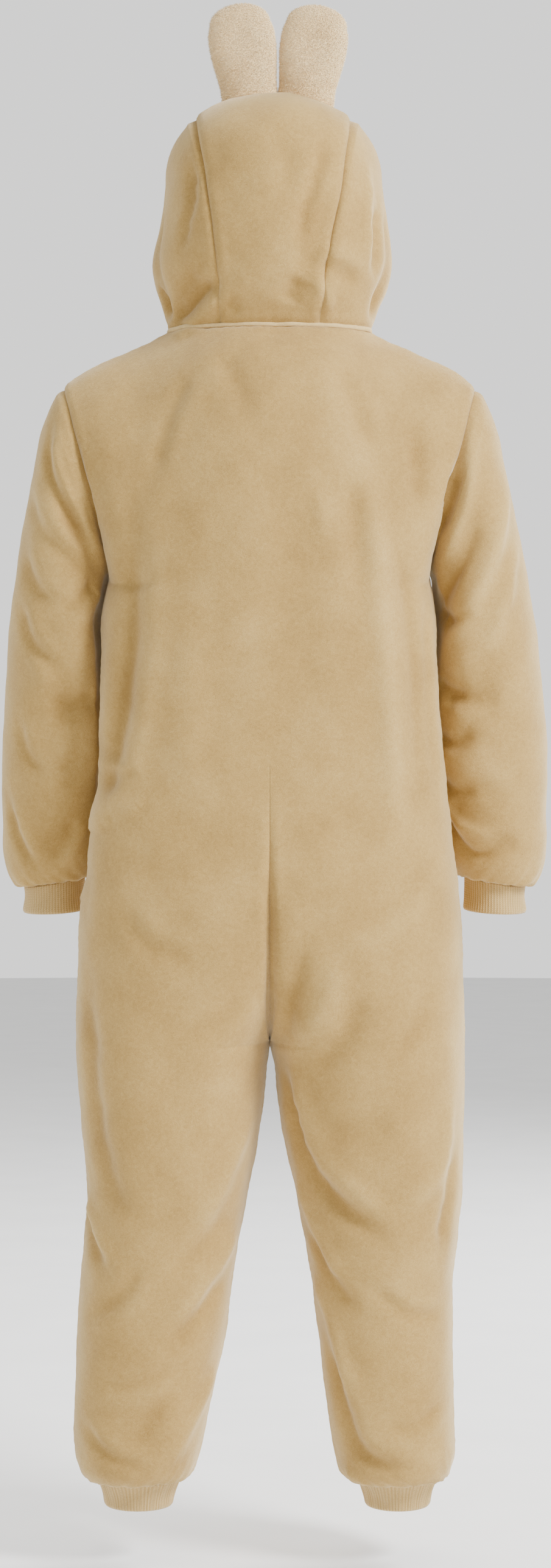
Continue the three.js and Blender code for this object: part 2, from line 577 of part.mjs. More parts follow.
// Distance from a point to a piece of line, and how much of a fold's end is faded there.
function foldWeight(point, start, end, width) {
  const along = end.clone().sub(start);
  const length = along.length();
  const share = point.clone().sub(start).dot(along) / (length * length);
  const nearest = start.clone().addScaledVector(along, Math.min(1, Math.max(0, share)));
  const distance = point.distanceTo(nearest);
  const past = Math.min(1, Math.max(0, share));
  const taper = smooth(past / 0.22) * smooth((1 - past) / 0.22);
  return Math.exp(-((distance / width) ** 2)) * mix(0.25, 1, taper);
}

// The place on the body's surface for a fold's end, given from behind or from the front.
function onBody(face, x, z) {
  const side = x < 0 ? "right" : "left";
  const s = halfSection(side, Math.min(z, UNDERARM_Z));
  const fullness = face === "back" ? BACK_FULLNESS : FRONT_FULLNESS;
  const reach = (face === "back" ? s.backY : s.frontY) - s.sideY;
  const from = Math.abs(x) - s.centreX;
  const half = from > 0 ? s.outerHalf : s.innerHalf;
  const share = Math.min(1, Math.abs(from) / half);
  return new THREE.Vector3(x, s.sideY + reach * (1 - share ** fullness) ** (1 / fullness), z);
}

function bodyRelief(point) {
  const seamed = point.z < RISE_TOP_Z && point.z > CROTCH_Z - 40;
  const calm = seamed ? smooth(Math.abs(point.x) / RISE_CALM) : 1;
  const nearZip = point.y < 0 && point.z > ZIP_FOOT_Z ? smooth((Math.abs(point.x) - ZIP_HALF) / RISE_CALM) : 1;
  const low = smooth((point.z - LEG_HEM_Z) / 40);
  const high = smooth((-100 - point.z) / 60);
  return (
    calm * nearZip * low * high *
    BODY_FOLDS.reduce((sum, fold) => {
      const start = onBody(fold.on, fold.x, fold.z);
      const end = onBody(fold.on, fold.endX, fold.endZ);
      return sum + fold.height * foldWeight(point, start, end, fold.width);
    }, 0)
  );
}

const sleeveReliefs = Object.fromEntries(
  SIDES.map((side) => {
    const lines = SLEEVE_FOLDS.map((fold) => ({
      start: sleeveRing(side, fold.ring, [fold.turn])[0],
      end: sleeveRing(side, fold.endRing, [fold.endTurn])[0],
      fold,
    }));
    const hemZ = SLEEVE_RINGS[SLEEVE_RINGS.length - 1].outerZ;
    const relief = (point) =>
      smooth((point.z - hemZ - 6) / 36) *
      lines.reduce((sum, { start, end, fold }) => sum + fold.height * foldWeight(point, start, end, fold.width), 0);
    return [side, relief];
  }),
);

const hoodFoldLines = HOOD_FOLDS.map((fold) => {
  const place = (z, turn) => {
    const angle = (Math.PI / 2) * turn;
    const level = new THREE.Vector3(0, 0, z - HOOD_CORE.z);
    return leaned(hoodPoint(new THREE.Vector3(130 * Math.sin(angle), 130 * Math.cos(angle), level.z).normalize()));
  };
  return { start: place(fold.z, fold.turn), end: place(fold.endZ, fold.endTurn), fold };
});

function hoodRelief(point) {
  const low = smooth((point.z - NAPE_Z) / 22);
  const back = smooth((point.y + 75) / 40);
  return (
    low * back *
    hoodFoldLines.reduce((sum, { start, end, fold }) => sum + fold.height * foldWeight(point, start, end, fold.width), 0)
  );
}

// A cut piece of cloth as an open surface of outer points, which becomes a closed wall.
class Piece {
  constructor(name, thickness, relief = () => 0) {
    this.name = name;
    this.thickness = thickness;
    this.relief = relief;
    this.points = [];
    this.faces = [];
  }

  // Adds a grid of points as quads. given holds points that the grid shares with one before.
  addGrid(rows, { wrap = false, flip = false, given = () => null } = {}) {
    const ids = rows.map((row, r) =>
      row.map((point, c) => given(r, c) ?? this.points.push(point.clone()) - 1),
    );
    const across = wrap ? rows[0].length : rows[0].length - 1;
    for (let r = 0; r < rows.length - 1; r += 1) {
      for (let c = 0; c < across; c += 1) {
        const d = (c + 1) % rows[0].length;
        const quad = [ids[r][c], ids[r + 1][c], ids[r + 1][d], ids[r][d]];
        this.faces.push(flip ? quad.reverse() : quad);
      }
    }
    return ids;
  }

  faceNormal(face) {
    const [a, b, c, d] = face.map((id) => this.points[id]);
    return new THREE.Vector3().crossVectors(c.clone().sub(a), d.clone().sub(b));
  }

  ownNormals() {
    const normals = this.points.map(() => new THREE.Vector3());
    for (const face of this.faces) {
      const normal = this.faceNormal(face).normalize();
      face.forEach((id, k) => {
        const before = this.points[face[(k + 3) % 4]].clone().sub(this.points[id]);
        const after = this.points[face[(k + 1) % 4]].clone().sub(this.points[id]);
        normals[id].addScaledVector(normal, before.angleTo(after) || 0);
      });
    }
    return normals.map((normal) => normal.normalize());
  }

  // Each free edge with the direction across it into the cloth.
  freeEdges() {
    const seen = new Map();
    for (const face of this.faces) {
      face.forEach((a, k) => {
        const b = face[(k + 1) % 4];
        const key = a < b ? a + "_" + b : b + "_" + a;
        if (seen.has(key)) seen.get(key).free = false;
        else seen.set(key, { a, b, face, free: true });
      });
    }
    const edges = [...seen.values()].filter((edge) => edge.free);
    for (const edge of edges) {
      const from = this.points[edge.a];
      const along = this.points[edge.b].clone().sub(from).normalize();
      const middle = new THREE.Vector3();
      for (const id of edge.face) middle.add(this.points[id]);
      const inward = middle.multiplyScalar(0.25).sub(from);
      edge.inward = inward.addScaledVector(along, -inward.dot(along)).normalize();
    }
    return edges;
  }

  // How each point on a free edge draws back, so that the seam's gap is even on both sides.
  trims() {
    const inwards = new Map();
    for (const edge of this.freeEdges()) {
      for (const id of [edge.a, edge.b]) inwards.set(id, [...(inwards.get(id) ?? []), edge.inward]);
    }
    return this.points.map((_, id) => {
      const list = inwards.get(id);
      if (!list) return new THREE.Vector3();
      const [u, v] = [list[0], list[list.length - 1]];
      const share = SEAM_GAP / 2 / Math.max(0.35, 1 + u.dot(v));
      return u.clone().add(v).multiplyScalar(share);
    });
  }

  // The closed wall: the outer surface, the inner one, and a rim along each free edge.
  geometry(normals, own) {
    const trims = this.trims();
    const outer = this.points.map((point, id) => point.clone().add(trims[id]));
    const inner = outer.map((point, id) => {
      const mitre = Math.max(0.5, normals[id].dot(own[id]));
      return point.clone().addScaledVector(normals[id], -this.thickness / mitre);
    });
    const shift = outer.length;
    const triangles = [];
    for (const [a, b, c, d] of this.faces) {
      triangles.push([a, b, c], [a, c, d]);
      triangles.push([shift + a, shift + c, shift + b], [shift + a, shift + d, shift + c]);
    }
    for (const { a, b } of this.freeEdges()) {
      if (comesFirst(this.points[a], this.points[b]) > 0) triangles.push([a, shift + a, shift + b], [a, shift + b, b]);
      else triangles.push([a, shift + a, b], [shift + a, shift + b, b]);
    }
    return solidGeometry([...outer, ...inner], triangles);
  }
}

function solidGeometry(points, triangles) {
  const geometry = new THREE.BufferGeometry();
  geometry.setAttribute("position", new THREE.Float32BufferAttribute(points.flatMap((p) => p.toArray()), 3));
  geometry.setIndex(triangles.flat());
  geometry.computeVertexNormals();
  return geometry;
}

// One order of two points, so that both sides of a seam split its rim along one diagonal.
const comesFirst = (a, b) => Math.sign(a.z - b.z) || Math.sign(a.y - b.y) || a.x - b.x;
const placeKey = (point) => point.toArray().map((v) => Math.round(v * 100)).join(" ");

const besideZip = (point) => point.y < NECK_FRONT_Y / 2 && Math.abs(Math.abs(point.x) - ZIP_HALF) < 2 * ZIP_EASE;

// The sum of some normals, with those that nearly agree counted once.
function summed(normals) {
  const distinct = normals.filter((one, i) => !normals.slice(0, i).some((other) => other.dot(one) > 0.85));
  return distinct.reduce((sum, one) => sum.add(one), new THREE.Vector3());
}

// Where pieces share a seam, they share one normal, so that their walls meet on one mitre.
function seamNormals(pieces) {
  const own = new Map(pieces.map((piece) => [piece, piece.ownNormals()]));
  const met = new Map();
  for (const piece of pieces) {
    const edge = new Set(piece.freeEdges().flatMap(({ a, b }) => [a, b]));
    for (const id of edge) {
      const key = placeKey(piece.points[id]);
      met.set(key, [...(met.get(key) ?? []), own.get(piece)[id]]);
    }
  }
  const shared = new Map();
  for (const piece of pieces) {
    const normals = own.get(piece).map((normal, id) => {
      const point = piece.points[id];
      const meeting = met.get(placeKey(point)) ?? [normal];
      const all = summed(meeting);
      if (besideZip(point)) all.x = 0;
      all.normalize();
      return all.dot(normal) > 0.45 ? all : summed(meeting.filter((other) => other.dot(normal) > 0.45)).normalize();
    });
    shared.set(piece, normals);
  }
  return { own, shared };
}

const cloth = [];

const back = new Piece("back", FLEECE_WALL, bodyRelief);
const backLeft = back.addGrid(halfPanel("left", "back"), { flip: true });
const riseRow = YOKE_ROWS + 1 + TORSO_ROWS.indexOf(RISE_TOP_Z);
back.addGrid(halfPanel("right", "back"), {
  given: (row, column) => (column === 0 && row <= riseRow ? backLeft[row][0] : null),
});
cloth.push(back);

for (const side of SIDES) {
  const front = new Piece("front_" + side, FLEECE_WALL, bodyRelief);
  front.addGrid(halfPanel(side, "front"), { flip: side === "right" });
  cloth.push(front);

  const sleeve = new Piece("sleeve_" + side, FLEECE_WALL, sleeveReliefs[side]);
  const turns = ringTurns(2 * YOKE_ROWS);
  const rings = SLEEVE_RINGS.map((_, station) => sleeveRing(side, station, turns));
  sleeve.addGrid(rings, { wrap: true, flip: side === "right" });
  cloth.push(sleeve);
}

const hoodCentre = new Piece("hood_centre", FLEECE_WALL, hoodRelief);
hoodCentre.addGrid(stripGrid());
cloth.push(hoodCentre);

const hoodSides = SIDES.map((side) => {
  const hoodSide = new Piece("hood_side_" + side, FLEECE_WALL, hoodRelief);
  const ids = hoodSide.addGrid(hoodSideGrid(side), { flip: side === "right" });
  cloth.push(hoodSide);
  return { hoodSide, ids };
});

// The zip chain lies between the front edges and runs up between the hood's sides.
const zipChain = new Piece("zip_chain", CHAIN_WALL);
{
  const chinRows = hoodSides[0].ids.map((row) => hoodSides[0].hoodSide.points[row[row.length - 1]]).reverse();
  const frontRows = halfPanel("left", "front").map((row) => row[0]).filter((point) => point.z >= ZIP_FOOT_Z);
  const path = [...chinRows, ...frontRows.slice(1)];
  const edge = ZIP_HALF - ZIP_EASE;
  zipChain.addGrid(path.map(({ y, z }) => [edge, -edge].map((x) => new THREE.Vector3(x, y, z))), { flip: true });
  cloth.push(zipChain);
}

// Lay the folds in along the shared normals. Where seams meet, pieces move by one amount.
{
  const { shared } = seamNormals(cloth);
  const amounts = new Map();
  for (const piece of cloth) {
    if (piece === zipChain) continue;
    for (const point of piece.points) {
      const key = placeKey(point);
      amounts.set(key, [...(amounts.get(key) ?? []), piece.relief(point)]);
    }
  }
  for (const piece of cloth) {
    const normals = shared.get(piece);
    piece.points = piece.points.map((point, id) => {
      const list = amounts.get(placeKey(point)) ?? [0];
      const amount = list.reduce((sum, one) => sum + one, 0) / list.length;
      return point.clone().addScaledVector(normals[id], piece === zipChain ? 0 : amount);
    });
  }
}

const garment = new THREE.Group();

const fleece = new THREE.MeshStandardMaterial({ color: 0xc7b28c, roughness: 0.95, metalness: 0 });
const earFleece = new THREE.MeshStandardMaterial({ color: 0xddc8b0, roughness: 0.97, metalness: 0 });
const ribKnit = new THREE.MeshStandardMaterial({ color: 0xb9a37c, roughness: 0.92, metalness: 0 });
const zipTape = new THREE.MeshStandardMaterial({ color: 0xae9a74, roughness: 0.7, metalness: 0 });
const zipMetal = new THREE.MeshStandardMaterial({ color: 0xb9ad94, roughness: 0.35, metalness: 0.9 });

function addMesh(name, geometry, material) {
  const mesh = new THREE.Mesh(geometry, material);
  mesh.name = name;
  garment.add(mesh);
  return mesh;
}

{
  const { own, shared } = seamNormals(cloth);
  for (const piece of cloth) {
    const material = piece === zipChain ? zipTape : fleece;
    addMesh(piece.name, piece.geometry(shared.get(piece), own.get(piece)), material);
  }
}

// A rib-knit cuff: a ring whose outer points rise into ribs over a plain inside. place turns a
// level, an angle and an inset into a point.
function cuffGeometry(cuff, place) {
  const columns = 2 * cuff.ribs;
  const levels = [
    { down: cuff.seamDrop, inset: cuff.topInset },
    { down: cuff.drop * 0.5, inset: mix(cuff.topInset, cuff.footInset, 0.5) + cuff.waist },
    { down: cuff.drop, inset: cuff.footInset },
  ];
  const points = [];
  for (const { down, inset } of levels) {
    for (let c = 0; c < columns; c += 1) {
      const rib = c % 2 === 0 ? cuff.ribHeight : 0;
      points.push(place(down, c / columns, inset + cuff.ribHeight - rib));
    }
  }
  for (const { down, inset } of [levels[0], levels[2]]) {
    for (let c = 0; c < columns; c += 1) points.push(place(down, c / columns, inset + cuff.ribHeight + RIB_WALL));
  }
  const triangles = [];
  const band = (upper, lower) => {
    for (let c = 0; c < columns; c += 1) {
      const d = (c + 1) % columns;
      const [a, b] = [upper * columns + c, upper * columns + d];
      const [e, f] = [lower * columns + c, lower * columns + d];
      triangles.push([a, e, f], [a, f, b]);
    }
  };
  band(0, 1);
  band(1, 2);
  band(2, 4);
  band(4, 3);
  band(3, 0);
  return outwards(solidGeometry(points, triangles));
}

// Turns a closed mesh so that its faces point out.
function outwards(geometry) {
  const position = geometry.getAttribute("position");
  const index = geometry.getIndex();
  const [a, b, c] = [new THREE.Vector3(), new THREE.Vector3(), new THREE.Vector3()];
  let volume = 0;
  for (let i = 0; i < index.count; i += 3) {
    a.fromBufferAttribute(position, index.getX(i));
    b.fromBufferAttribute(position, index.getX(i + 1));
    c.fromBufferAttribute(position, index.getX(i + 2));
    volume += a.dot(b.cross(c));
  }
  if (volume < 0) {
    for (let i = 0; i < index.count; i += 3) {
      const second = index.getX(i + 1);
      index.setX(i + 1, index.getX(i + 2));
      index.setX(i + 2, second);
    }
  }
  geometry.computeVertexNormals();
  return geometry;
}

for (const side of SIDES) {
  const hem = SLEEVE_RINGS[SLEEVE_RINGS.length - 1];
  const reach = ARM_REACH[side];
  const centre = new THREE.Vector3((hem.outerX + hem.innerX) / 2 + reach, hem.centreY, (hem.outerZ + hem.innerZ) / 2);
  const half = (hem.outerX - hem.innerX) / 2;
  const slope = (hem.outerZ - hem.innerZ) / (2 * half);
  const wrist = (down, turn, inset) => {
    const angle = 2 * Math.PI * turn;
    const across = (half - inset) * Math.cos(angle);
    const deep = (hem.depth - inset) * Math.sin(angle);
    return new THREE.Vector3(
      signOf(side) * (centre.x + across),
      centre.y + deep - down * WRIST_FORE_LEAN,
      centre.z - down + across * slope - deep * hem.lean,
    );
  };
  addMesh("wrist_cuff_" + side, cuffGeometry(WRIST_CUFF, wrist), ribKnit);

  const leg = halfSection(side, LEG_HEM_Z);
  const legHalf = (leg.outerHalf + leg.innerHalf) / 2;
  const ankle = (down, turn, inset) => {
    const angle = 2 * Math.PI * turn;
    const deep = ((leg.backY - leg.frontY) / 2 - inset) * Math.sin(angle);
    return new THREE.Vector3(
      signOf(side) * (leg.centreX + (legHalf - inset) * Math.cos(angle)),
      (leg.backY + leg.frontY) / 2 + deep,
      LEG_HEM_Z - down,
    );
  };
  addMesh("ankle_cuff_" + side, cuffGeometry(ANKLE_CUFF, ankle), ribKnit);
}

// The crown's height under a point of an ear's foot, found on the strip that carries the ear.
const crownMesh = garment.getObjectByName("hood_centre");
const drop = new THREE.Raycaster();
function crownZ(x, y) {
  drop.set(new THREE.Vector3(x, y, 400), new THREE.Vector3(0, 0, -1));
  return drop.intersectObject(crownMesh)[0].point.z;
}

// One half of a stuffed ear: a puffed face over the flat plane of the ear's edge seam.
function earHalf(ear, facing) {
  const footZ = crownZ(ear.footX, EAR_FOOT_Y);
  const up = new THREE.Vector3(Math.sin(ear.tilt), 0, Math.cos(ear.tilt));
  const over = new THREE.Vector3(Math.cos(ear.tilt), 0, -Math.sin(ear.tilt));
  const columns = EAR_COLUMNS + 1;
  const place = ({ height, half }, share, deep) => {
    const point = new THREE.Vector3(ear.footX, EAR_FOOT_Y + facing * deep, footZ);
    point.addScaledVector(up, height).addScaledVector(over, half * share);
    if (height === 0) point.z = crownZ(point.x, point.y) + EAR_SEAT;
    return point;
  };
  const tall = EAR_OUTLINE[EAR_OUTLINE.length - 1].height;
  const faces = [[], []];
  for (const row of EAR_OUTLINE) {
    for (let c = 0; c < columns; c += 1) {
      const share = (2 * c) / EAR_COLUMNS - 1;
      const round = Math.sqrt(Math.max(0, 1 - share * share));
      const roof = Math.sqrt(Math.max(0, 1 - (Math.max(0, row.height - 56) / (tall - 54)) ** 2.4));
      const away = Math.hypot(row.height - EAR_DENT_HEIGHT, row.half * share) / EAR_DENT_REACH;
      const dent = EAR_DENT * Math.exp(-(away ** 2));
      const puff = SEAM_GAP / 2 + EAR_EDGE + EAR_PUFF * round * roof - dent * round;
      faces[0].push(place(row, share, puff));
      faces[1].push(place(row, share, SEAM_GAP / 2));
    }
  }
  const rowsCount = EAR_OUTLINE.length;
  const shift = faces[0].length;
  const triangles = [];
  for (let r = 0; r < rowsCount - 1; r += 1) {
    for (let c = 0; c < EAR_COLUMNS; c += 1) {
      const [a, b] = [r * columns + c, r * columns + c + 1];
      const [e, f] = [a + columns, b + columns];
      triangles.push([a, f, b], [a, e, f]);
      triangles.push([shift + a, shift + b, shift + f], [shift + a, shift + f, shift + e]);
    }
  }
  const rim = [];
  for (let c = 0; c < columns; c += 1) rim.push(c);
  for (let r = 1; r < rowsCount; r += 1) rim.push(r * columns + EAR_COLUMNS);
  for (let c = EAR_COLUMNS - 1; c >= 0; c -= 1) rim.push((rowsCount - 1) * columns + c);
  for (let r = rowsCount - 2; r > 0; r -= 1) rim.push(r * columns);
  rim.forEach((a, i) => {
    const b = rim[(i + 1) % rim.length];
    triangles.push([a, b, shift + b], [a, shift + b, shift + a]);
  });
  return outwards(solidGeometry([...faces[0], ...faces[1]], triangles));
}

for (const ear of EARS) {
  addMesh("ear_back_" + ear.side, earHalf(ear, 1), earFleece);
  addMesh("ear_front_" + ear.side, earHalf(ear, -1), earFleece);
}

// The slider stands near the top of the closed zip, in front of the chain.
const chinFoot = new THREE.Vector3(0, NECK_FRONT_Y, NECK_FRONT_Z);
const chinEnd = FACE_EDGE[FACE_EDGE.length - 1];
const chinTop = new THREE.Vector3(0, chinEnd.y, chinEnd.z);
const sliderSeat = chinFoot.clone().lerp(chinTop, (SLIDER_Z - chinFoot.z) / (chinTop.z - chinFoot.z));
const chainFrame = new THREE.Matrix4()
  .makeRotationX(Math.atan2(chinFoot.y - chinTop.y, chinTop.z - chinFoot.z))
  .setPosition(sliderSeat);

const wasm = await ManifoldModule();
wasm.setup();

// The union of closed geometries as one closed geometry.
function fused(geometries) {
  const solids = geometries.map((geometry) => {
    const bare = new THREE.BufferGeometry();
    bare.setAttribute("position", geometry.getAttribute("position"));
    if (geometry.getIndex()) bare.setIndex(geometry.getIndex());
    const merged = mergeVertices(bare, 1e-4);
    return new wasm.Manifold(
      new wasm.Mesh({
        numProp: 3,
        vertProperties: new Float32Array(merged.getAttribute("position").array),
        triVerts: new Uint32Array(merged.getIndex().array),
      }),
    );
  });
  const mesh = wasm.Manifold.union(solids).getMesh();
  const geometry = new THREE.BufferGeometry();
  geometry.setAttribute("position", new THREE.Float32BufferAttribute(mesh.vertProperties, 3));
  geometry.setIndex([...mesh.triVerts]);
  geometry.computeVertexNormals();
  return geometry;
}

// A shape drawn across and up, made as thick as depth, with its back face at out from the chain.
function plate(shape, depth, out) {
  const geometry = new THREE.ExtrudeGeometry(shape, { depth, bevelEnabled: false, curveSegments: 8 });
  geometry.rotateX(Math.PI / 2);
  geometry.translate(0, -out, 0);
  return geometry;
}

function outline(corners) {
  const shape = new THREE.Shape();
  corners.forEach(([x, y], i) => (i === 0 ? shape.moveTo(x, y) : shape.lineTo(x, y)));
  shape.closePath();
  return shape;
}

{
  const [w, h, cut] = [SLIDER.width / 2, SLIDER.height / 2, SLIDER.corner];
  const face = outline([
    [-w, -h + cut], [-w + cut, -h], [w - cut, -h], [w, -h + cut],
    [w, h - cut], [w - cut, h], [-w + cut, h], [-w, h - cut],
  ]);
  const [span, reach, bar] = [BRIDGE.span / 2, BRIDGE.reach, BRIDGE.bar];
  const arch = outline([
    [-span, -0.5], [-span, reach - bar], [-span + bar, reach], [span - bar, reach], [span, reach - bar], [span, -0.5],
    [span - bar, -0.5], [span - bar, reach - bar], [-span + bar, reach - bar], [-span + bar, -0.5],
  ]);
  const bridge = new THREE.ExtrudeGeometry(arch, { depth: BRIDGE.width, bevelEnabled: false });
  bridge.translate(0, 0, -BRIDGE.width / 2);
  bridge.applyMatrix4(new THREE.Matrix4().makeBasis(
    new THREE.Vector3(0, 0, 1), new THREE.Vector3(0, -1, 0), new THREE.Vector3(1, 0, 0),
  ));
  bridge.translate(0, -SEAM_GAP - SLIDER.depth, 0);
  const slider = fused([plate(face, SLIDER.depth, SEAM_GAP), bridge]);
  addMesh("zip_slider", outwards(slider.applyMatrix4(chainFrame)), zipMetal);

  const top = PULL.bar / 2;
  const [pullHalf, foot] = [PULL.width / 2, top - PULL.length];
  const tab = outline([
    [-PULL.neck, top], [PULL.neck, top], [pullHalf, top - PULL.shoulder], [pullHalf - 0.6, foot + 3],
    [pullHalf - 2.4, foot], [-pullHalf + 2.4, foot], [-pullHalf + 0.6, foot + 3], [-pullHalf, top - PULL.shoulder],
  ]);
  tab.holes.push(
    outline([
      [-PULL.slotHalf, -top], [-PULL.slotHalf, -PULL.slotFoot], [PULL.slotHalf, -PULL.slotFoot], [PULL.slotHalf, -top],
    ]),
  );
  // The pull hangs straight down from the middle of the bridge, where its hinge lies.
  const pivot = new THREE.Vector3(0, -SEAM_GAP - SLIDER.depth - PULL.pivotOut, 0).applyMatrix4(chainFrame);
  const bare = plate(tab, PULL.depth, -PULL.depth / 2).deleteAttribute("uv").deleteAttribute("normal");
  const pull = mergeVertices(bare, 1e-4).translate(pivot.x, pivot.y, pivot.z);
  addMesh("zip_pull", outwards(pull), zipMetal);
}

export default garment;
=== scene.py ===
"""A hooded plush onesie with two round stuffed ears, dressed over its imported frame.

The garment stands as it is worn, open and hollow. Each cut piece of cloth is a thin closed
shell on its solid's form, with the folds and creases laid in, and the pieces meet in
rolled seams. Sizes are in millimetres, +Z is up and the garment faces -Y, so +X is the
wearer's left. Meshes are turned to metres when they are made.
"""

import json
import logging
import math
from dataclasses import dataclass, field
from enum import Enum
from typing import Iterable, Sequence

import bpy
import numpy as np
from mathutils import Euler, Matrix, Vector

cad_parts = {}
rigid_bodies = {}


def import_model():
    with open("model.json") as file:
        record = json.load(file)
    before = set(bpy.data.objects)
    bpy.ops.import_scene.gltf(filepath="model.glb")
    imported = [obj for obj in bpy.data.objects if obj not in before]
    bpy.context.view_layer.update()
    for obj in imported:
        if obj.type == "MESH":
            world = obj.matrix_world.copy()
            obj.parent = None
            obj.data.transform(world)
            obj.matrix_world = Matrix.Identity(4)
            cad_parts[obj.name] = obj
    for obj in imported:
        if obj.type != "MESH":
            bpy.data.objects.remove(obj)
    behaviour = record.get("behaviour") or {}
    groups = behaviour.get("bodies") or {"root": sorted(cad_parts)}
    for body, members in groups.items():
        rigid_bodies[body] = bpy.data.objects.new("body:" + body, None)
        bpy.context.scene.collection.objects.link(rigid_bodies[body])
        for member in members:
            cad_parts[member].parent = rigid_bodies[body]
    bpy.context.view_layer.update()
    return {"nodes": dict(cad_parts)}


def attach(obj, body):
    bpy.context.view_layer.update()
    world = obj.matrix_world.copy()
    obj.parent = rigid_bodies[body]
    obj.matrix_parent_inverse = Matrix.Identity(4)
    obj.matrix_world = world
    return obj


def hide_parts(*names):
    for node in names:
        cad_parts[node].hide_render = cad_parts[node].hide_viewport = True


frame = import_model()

log = logging.getLogger("onesie")
MM = 0.001
GARMENT = "garment"
Array = np.ndarray


class Side(Enum):
    """The wearer's side, with the sign of its x."""

    LEFT = 1
    RIGHT = -1

    @property
    def word(self) -> str:
        """The side's name, as it stands in the names of the pieces."""
        return self.name.lower()


class Face(Enum):
    """The back or the front of the garment, with the sign of its y."""

    BACK = 1
    FRONT = -1


class Table:
    """Rows of sizes with named columns, read on a smooth curve through them."""

    def __init__(self, columns: str, rows: Sequence[Sequence[float]]) -> None:
        """Keeps the rows in the order of their first column.

        Args:
            columns: the columns' names, the first of which is the key.
            rows: one row of numbers for each station.
        """
        ordered = sorted(rows, key=lambda row: row[0])
        values = np.array(ordered, dtype=float).T
        self.key = values[0]
        self.columns = dict(zip(columns.split(), values))

    def at(self, column: str, place: Array | float) -> Array:
        """The value of a column between its rows.

        Args:
            column: the column's name.
            place: one or more places along the key column.

        Returns:
            The values on a cubic curve through the rows.
        """
        key = self.key
        values = self.columns[column]
        spot = np.clip(np.asarray(place, dtype=float), key[0], key[-1])
        low = np.clip(np.searchsorted(key, spot, side="left") - 1, 0, len(key) - 2)
        before = np.maximum(np.arange(len(key)) - 1, 0)
        after = np.minimum(np.arange(len(key)) + 1, len(key) - 1)
        slope = (values[after] - values[before]) / (key[after] - key[before])
        span = key[low + 1] - key[low]
        t = (spot - key[low]) / span
        t2 = t * t
        t3 = t2 * t
        return (
            values[low] * (2 * t3 - 3 * t2 + 1)
            + values[low + 1] * (3 * t2 - 2 * t3)
            + slope[low] * span * (t3 - 2 * t2 + t)
            + slope[low + 1] * span * (t3 - t2)
        )


def mix(a: Array | float, b: Array | float, t: Array | float) -> Array | float:
    """The value a share t of the way from a to b."""
    return a + (b - a) * t


def smooth(t: Array | float) -> Array:
    """An eased step from 0 to 1."""
    k = np.clip(t, 0.0, 1.0)
    return k * k * (3 - 2 * k)


def unit(vectors: Array) -> Array:
    """The vectors at length 1."""
    return vectors / np.maximum(np.linalg.norm(vectors, axis=-1, keepdims=True), 1e-9)


def running_length(points: Array) -> Array:
    """The running length along a line of points."""
    steps = np.linalg.norm(np.diff(points, axis=0), axis=1)
    return np.concatenate([[0.0], np.cumsum(steps)])


def along_line(points: Array, shares: Array) -> Array:
    """Points at shares of a line's length.

    Args:
        points: the line, one row for each point.
        shares: places from 0 to 1.

    Returns:
        One point for each share.
    """
    run = running_length(points)
    wanted = np.asarray(shares) * run[-1]
    return np.stack([np.interp(wanted, run, points[:, axis]) for axis in range(3)], axis=-1)


def finer(rows: Sequence[float], step: float) -> list[float]:
    """Splits the gaps of a list of places into steps no larger than step."""
    made = [rows[0]]
    for low, high in zip(rows, rows[1:]):
        parts = max(1, math.ceil(abs(high - low) / step))
        made += [low + (high - low) * (part + 1) / parts for part in range(parts)]
    return made


# Heights and places of the driving seams
NAPE_Z = 0.0
UNDERARM_Z = -285.0
YOKE_END_Z = -315.0
RISE_TOP_Z = -521.0
RISE_SPREAD_Z = -560.0
ZIP_FOOT_Z = -650.0
SEAT_TOP_Z = -692.0
CROTCH_Z = -860.0
THIGH_Z = -895.0
LEG_HEM_Z = -1392.0
ANKLE_CUFF_END_Z = -1424.0
ZIP_HALF = 4.35
ZIP_OPENS_TO = 40.0
FLEECE_WALL = 2.8
MITRE_AGREES = 0.2

PANEL_UNITS = 10
NECK_UNITS = 6
STRIP_UNITS = 3
EDGE_STEPS = (0.0, 0.05, 0.12, 0.21, 0.32, 0.45, 0.6, 0.8)


def panel_columns() -> Array:
    """Columns of a body panel, from the centre line at 0 to the side at 10, close at seams."""
    inner = [value / 6 for value in range(6, 6 * (PANEL_UNITS - 1))]
    outer = [PANEL_UNITS - value for value in reversed(EDGE_STEPS)]
    near_strip = [STRIP_UNITS - 0.05, STRIP_UNITS - 0.02, STRIP_UNITS + 0.02, STRIP_UNITS + 0.05]
    return np.array(sorted({round(value, 5) for value in [*EDGE_STEPS, *inner, *near_strip, *outer]}))


def yoke_rows() -> Array:
    """Rows of the yoke from the neck and shoulder seams at 0 to the underarm at 1."""
    edge = [0.0, 0.004, 0.011, 0.021, 0.033]
    return np.array([*edge, *np.linspace(0.052, 1.0, 46)])


BODY_ROWS = np.array([
    *finer([
        -350, -392, -435, -478, RISE_TOP_Z, -565, -608, ZIP_FOOT_Z, -656, SEAT_TOP_Z, -760, -812, -840,
    ], 5.2),
    -844, -848, -851, -853.5, -855.6, -857.3, -858.6, -859.4, CROTCH_Z,
    *finer([-860.8, -863, -866, -870, -875, -895, -962, -1044, -1132, -1220, -1306, -1366, -1381], 5.2),
    -1384, -1386.5, -1388.5, -1390.2, -1391.3, LEG_HEM_Z,
])
BODY_ROWS.setflags(write=False)


